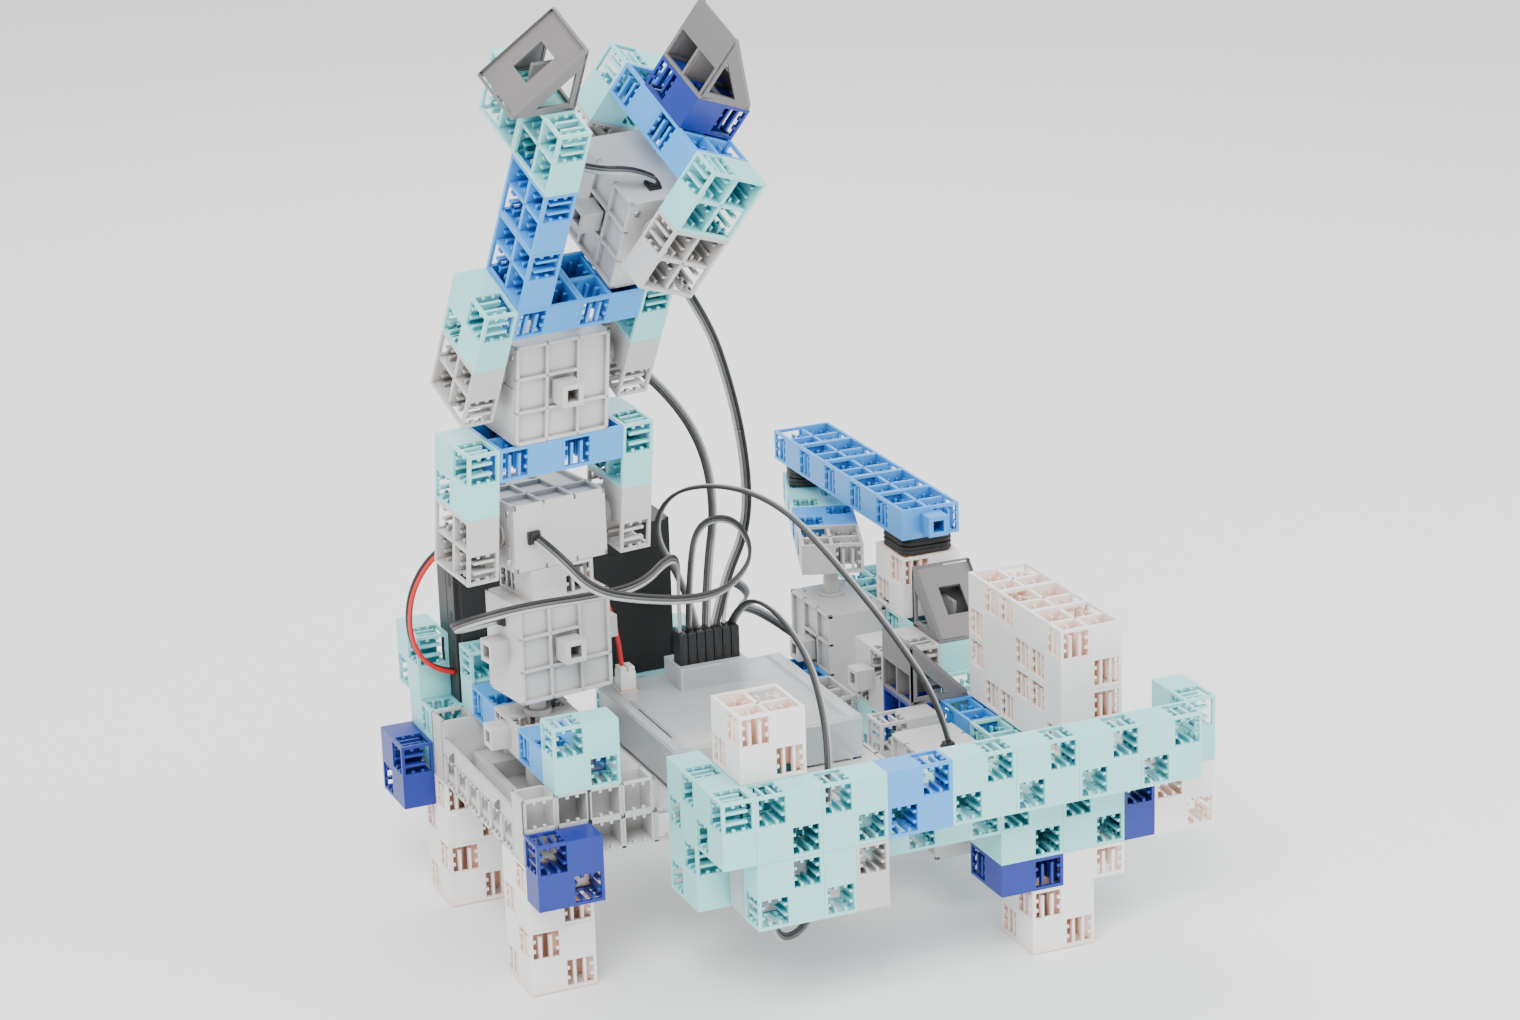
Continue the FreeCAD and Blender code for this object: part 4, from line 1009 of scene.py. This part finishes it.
BATTERY_LEAD = [(0.99, 8.5, 6.9), (0.2, 8.5, 7.1), (-0.4, 8.5, 8.3),
                (-0.2, 8.4, 9.9), (0.8, 8.2, 11.1), (2.6, 7.8, 11.3),
                (4.3, 7.5, 10.6), (5.3, 7.2, 9.3), (5.55, 6.6, 8.1),
                (5.52, 6.3, 7.07)]
WIRE_SHIFT = (0.0, 0.22, 0.0)


def spots(points, shift=(0, 0, 0)):
    """Cord points in metres at rest."""
    placed = []
    for x, y, z, *level in points:
        matrix = LEVELS[level[0]] if level else HERE
        placed.append(matrix @ at(x + shift[0], y + shift[1], z + shift[2]))
    return placed


def spline_line(places):
    """Smooth line of a cord: the NURBS spline whose control points are its route."""
    curve = bpy.data.curves.new("route", "CURVE")
    curve.dimensions = "3D"
    curve.resolution_u = 24
    spline = curve.splines.new("NURBS")
    spline.points.add(len(places) - 1)
    for point, place in zip(spline.points, places):
        point.co = (*place, 1.0)
    spline.order_u = 3
    spline.use_endpoint_u = True
    guide = bpy.data.objects.new("route", curve)
    bpy.context.scene.collection.objects.link(guide)
    state = bpy.context.evaluated_depsgraph_get()
    mesh = bpy.data.meshes.new_from_object(guide.evaluated_get(state))
    line = [vertex.co.copy() for vertex in mesh.vertices]
    bpy.data.meshes.remove(mesh)
    bpy.data.objects.remove(guide)
    bpy.data.curves.remove(curve)
    return line


def strand_mesh(line, offsets, radius, paints, side=None):
    """Parallel wires swept along one line: offsets are sideways places, one paint each."""
    bm = bmesh.new()
    sides = 12
    side = side or (line[1] - line[0]).orthogonal().normalized()
    frames = []
    for i, spot in enumerate(line):
        way = (line[min(i + 1, len(line) - 1)] - line[max(i - 1, 0)]).normalized()
        side = (side - way * side.dot(way)).normalized()
        frames.append((spot, side.copy(), way.cross(side)))
    for k, offset in enumerate(offsets):
        loops = []
        for spot, side, normal in frames:
            hub = spot + side * offset
            loops.append([bm.verts.new(hub + (side * c + normal * s) * radius) for c, s in circle(sides)])
        for one, two in zip(loops, loops[1:]):
            for j in range(sides):
                m = (j + 1) % sides
                bm.faces.new((one[j], one[m], two[m], two[j])).material_index = k
        for loop in (loops[0][::-1], loops[-1]):
            bm.faces.new(loop).material_index = k
    bmesh.ops.recalc_face_normals(bm, faces=bm.faces)
    for face in bm.faces:
        face.smooth = True
    mesh = bpy.data.meshes.new("strand")
    bm.to_mesh(mesh)
    bm.free()
    for paint in paints:
        mesh.materials.append(PAINT[paint])
    return mesh, frames[-1][1]


RIBBON = (-0.98 * MM, 0.0, 0.98 * MM)
CORE = 0.52 * MM
WIRE = 0.7 * MM


def lead(name, node, route, bodies, side=None):
    """Flat three-core lead: it rides one body, or, given two bodies, is left fixed at its rest place.
    Gives its last sideways vector.
    """
    line = spline_line(spots(route))
    mesh, side = strand_mesh(line, RIBBON, CORE, ["lead_black", "lead_grey", "lead_white"], side)
    settle(name, mesh, node, bodies)
    return side


def settle(name, mesh, node, bodies):
    thing = bpy.data.objects.new(name, mesh)
    bpy.context.scene.collection.objects.link(thing)
    if len(bodies) == 1:
        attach(thing, bodies[0])
    else:
        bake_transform(thing)
    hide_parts(node)


def leads():
    side = lead("jaw_lead_1", "jaw_lead_top", JAW_TOP, ("upper_arm", "lower_arm"))
    side = lead("jaw_lead_2", "arm_leads_middle", JAW_MIDDLE, ("lower_arm", "turntable"), side)
    lead("jaw_lead_3", "arm_leads_foot", JAW_FOOT, ("turntable", "base"), side)
    side = lead("upper_lead_1", "arm_leads_middle", UPPER_TOP, ("lower_arm", "turntable"))
    lead("upper_lead_2", "arm_leads_foot", UPPER_FOOT, ("turntable", "base"), side)
    lead("lower_lead", "arm_leads_foot", LOWER_LEAD, ("turntable", "base"))
    lead("yaw_lead", "arm_leads_foot", YAW_LEAD, ("turntable", "base"))
    lead("gate_lead", "fixed_leads", GATE_LEAD, ("base",))
    lead("feeder_lead", "fixed_leads", FEEDER_LEAD, ("base",))
    lead("sensor_lead", "fixed_leads", SENSOR_LEAD, ("base",))
    for paint, shift in (("lead_red", (0, 0, 0)), ("lead_black", WIRE_SHIFT)):
        line = spline_line(spots(BATTERY_LEAD, shift))
        mesh, _ = strand_mesh(line, (0.0,), WIRE, [paint])
        settle("battery_" + paint, mesh, "battery_leads", ("base",))


# ---- studio ----
def studio():
    """Pale floor and soft lights."""
    bpy.ops.mesh.primitive_plane_add(size=12, location=(0, 0, -0.0002))
    floor = bpy.context.object
    floor.name = "floor"
    material, _, _, shader = nodes_of("floor")
    set_inputs(shader, {"Base Color": (0.92, 0.92, 0.92, 1), "Roughness": 0.7})
    floor.data.materials.append(material)
    world = bpy.data.worlds.new("studio")
    bpy.context.scene.world = world
    world.use_nodes = True
    set_inputs(world.node_tree.nodes["Background"], {"Color": (1, 1, 1, 1), "Strength": 1.25})
    for name, place, size, power in (("key", (-0.55, -0.75, 1.1), 0.7, 20),
                                     ("fill", (0.9, -0.5, 0.7), 0.9, 8),
                                     ("back", (0.2, 0.9, 1.0), 0.8, 7)):
        light = bpy.data.lights.new(name, "AREA")
        light.energy, light.size = power, size
        lamp = bpy.data.objects.new(name, light)
        bpy.context.scene.collection.objects.link(lamp)
        lamp.location = place
        lamp.rotation_euler = (Vector((0, 0, 0.1)) - Vector(place)).to_track_quat("-Z", "Y").to_euler()


def camera():
    """Camera at the photograph's angle."""
    azimuth, elevation, roll = math.radians(22.88), math.radians(18.04), math.radians(-1.80)
    ahead = Vector((math.sin(azimuth) * math.cos(elevation), math.cos(azimuth) * math.cos(elevation),
                    -math.sin(elevation)))
    right = Vector((math.cos(azimuth), -math.sin(azimuth), 0))
    up = right.cross(ahead)
    tilted = right * math.cos(roll) + up * math.sin(roll)
    upright = up * math.cos(roll) - right * math.sin(roll)
    lens = bpy.data.cameras.new("camera")
    lens.sensor_width, lens.lens = 36, 88.3
    lens.clip_start, lens.clip_end = 0.05, 50
    viewer = bpy.data.objects.new("camera", lens)
    bpy.context.scene.collection.objects.link(viewer)
    place = at(-31.33, -92.07, 46.0)
    rotation = Matrix((tilted, upright, -ahead)).transposed().to_4x4()
    viewer.matrix_world = Matrix.Translation(place) @ rotation
    bpy.context.scene.camera = viewer


left_group()
controller_frame()
controller_cover()
controller_board()
plugs()
battery()
front_bar()
decks()
feeder()
arm()
leads()
studio()
camera()
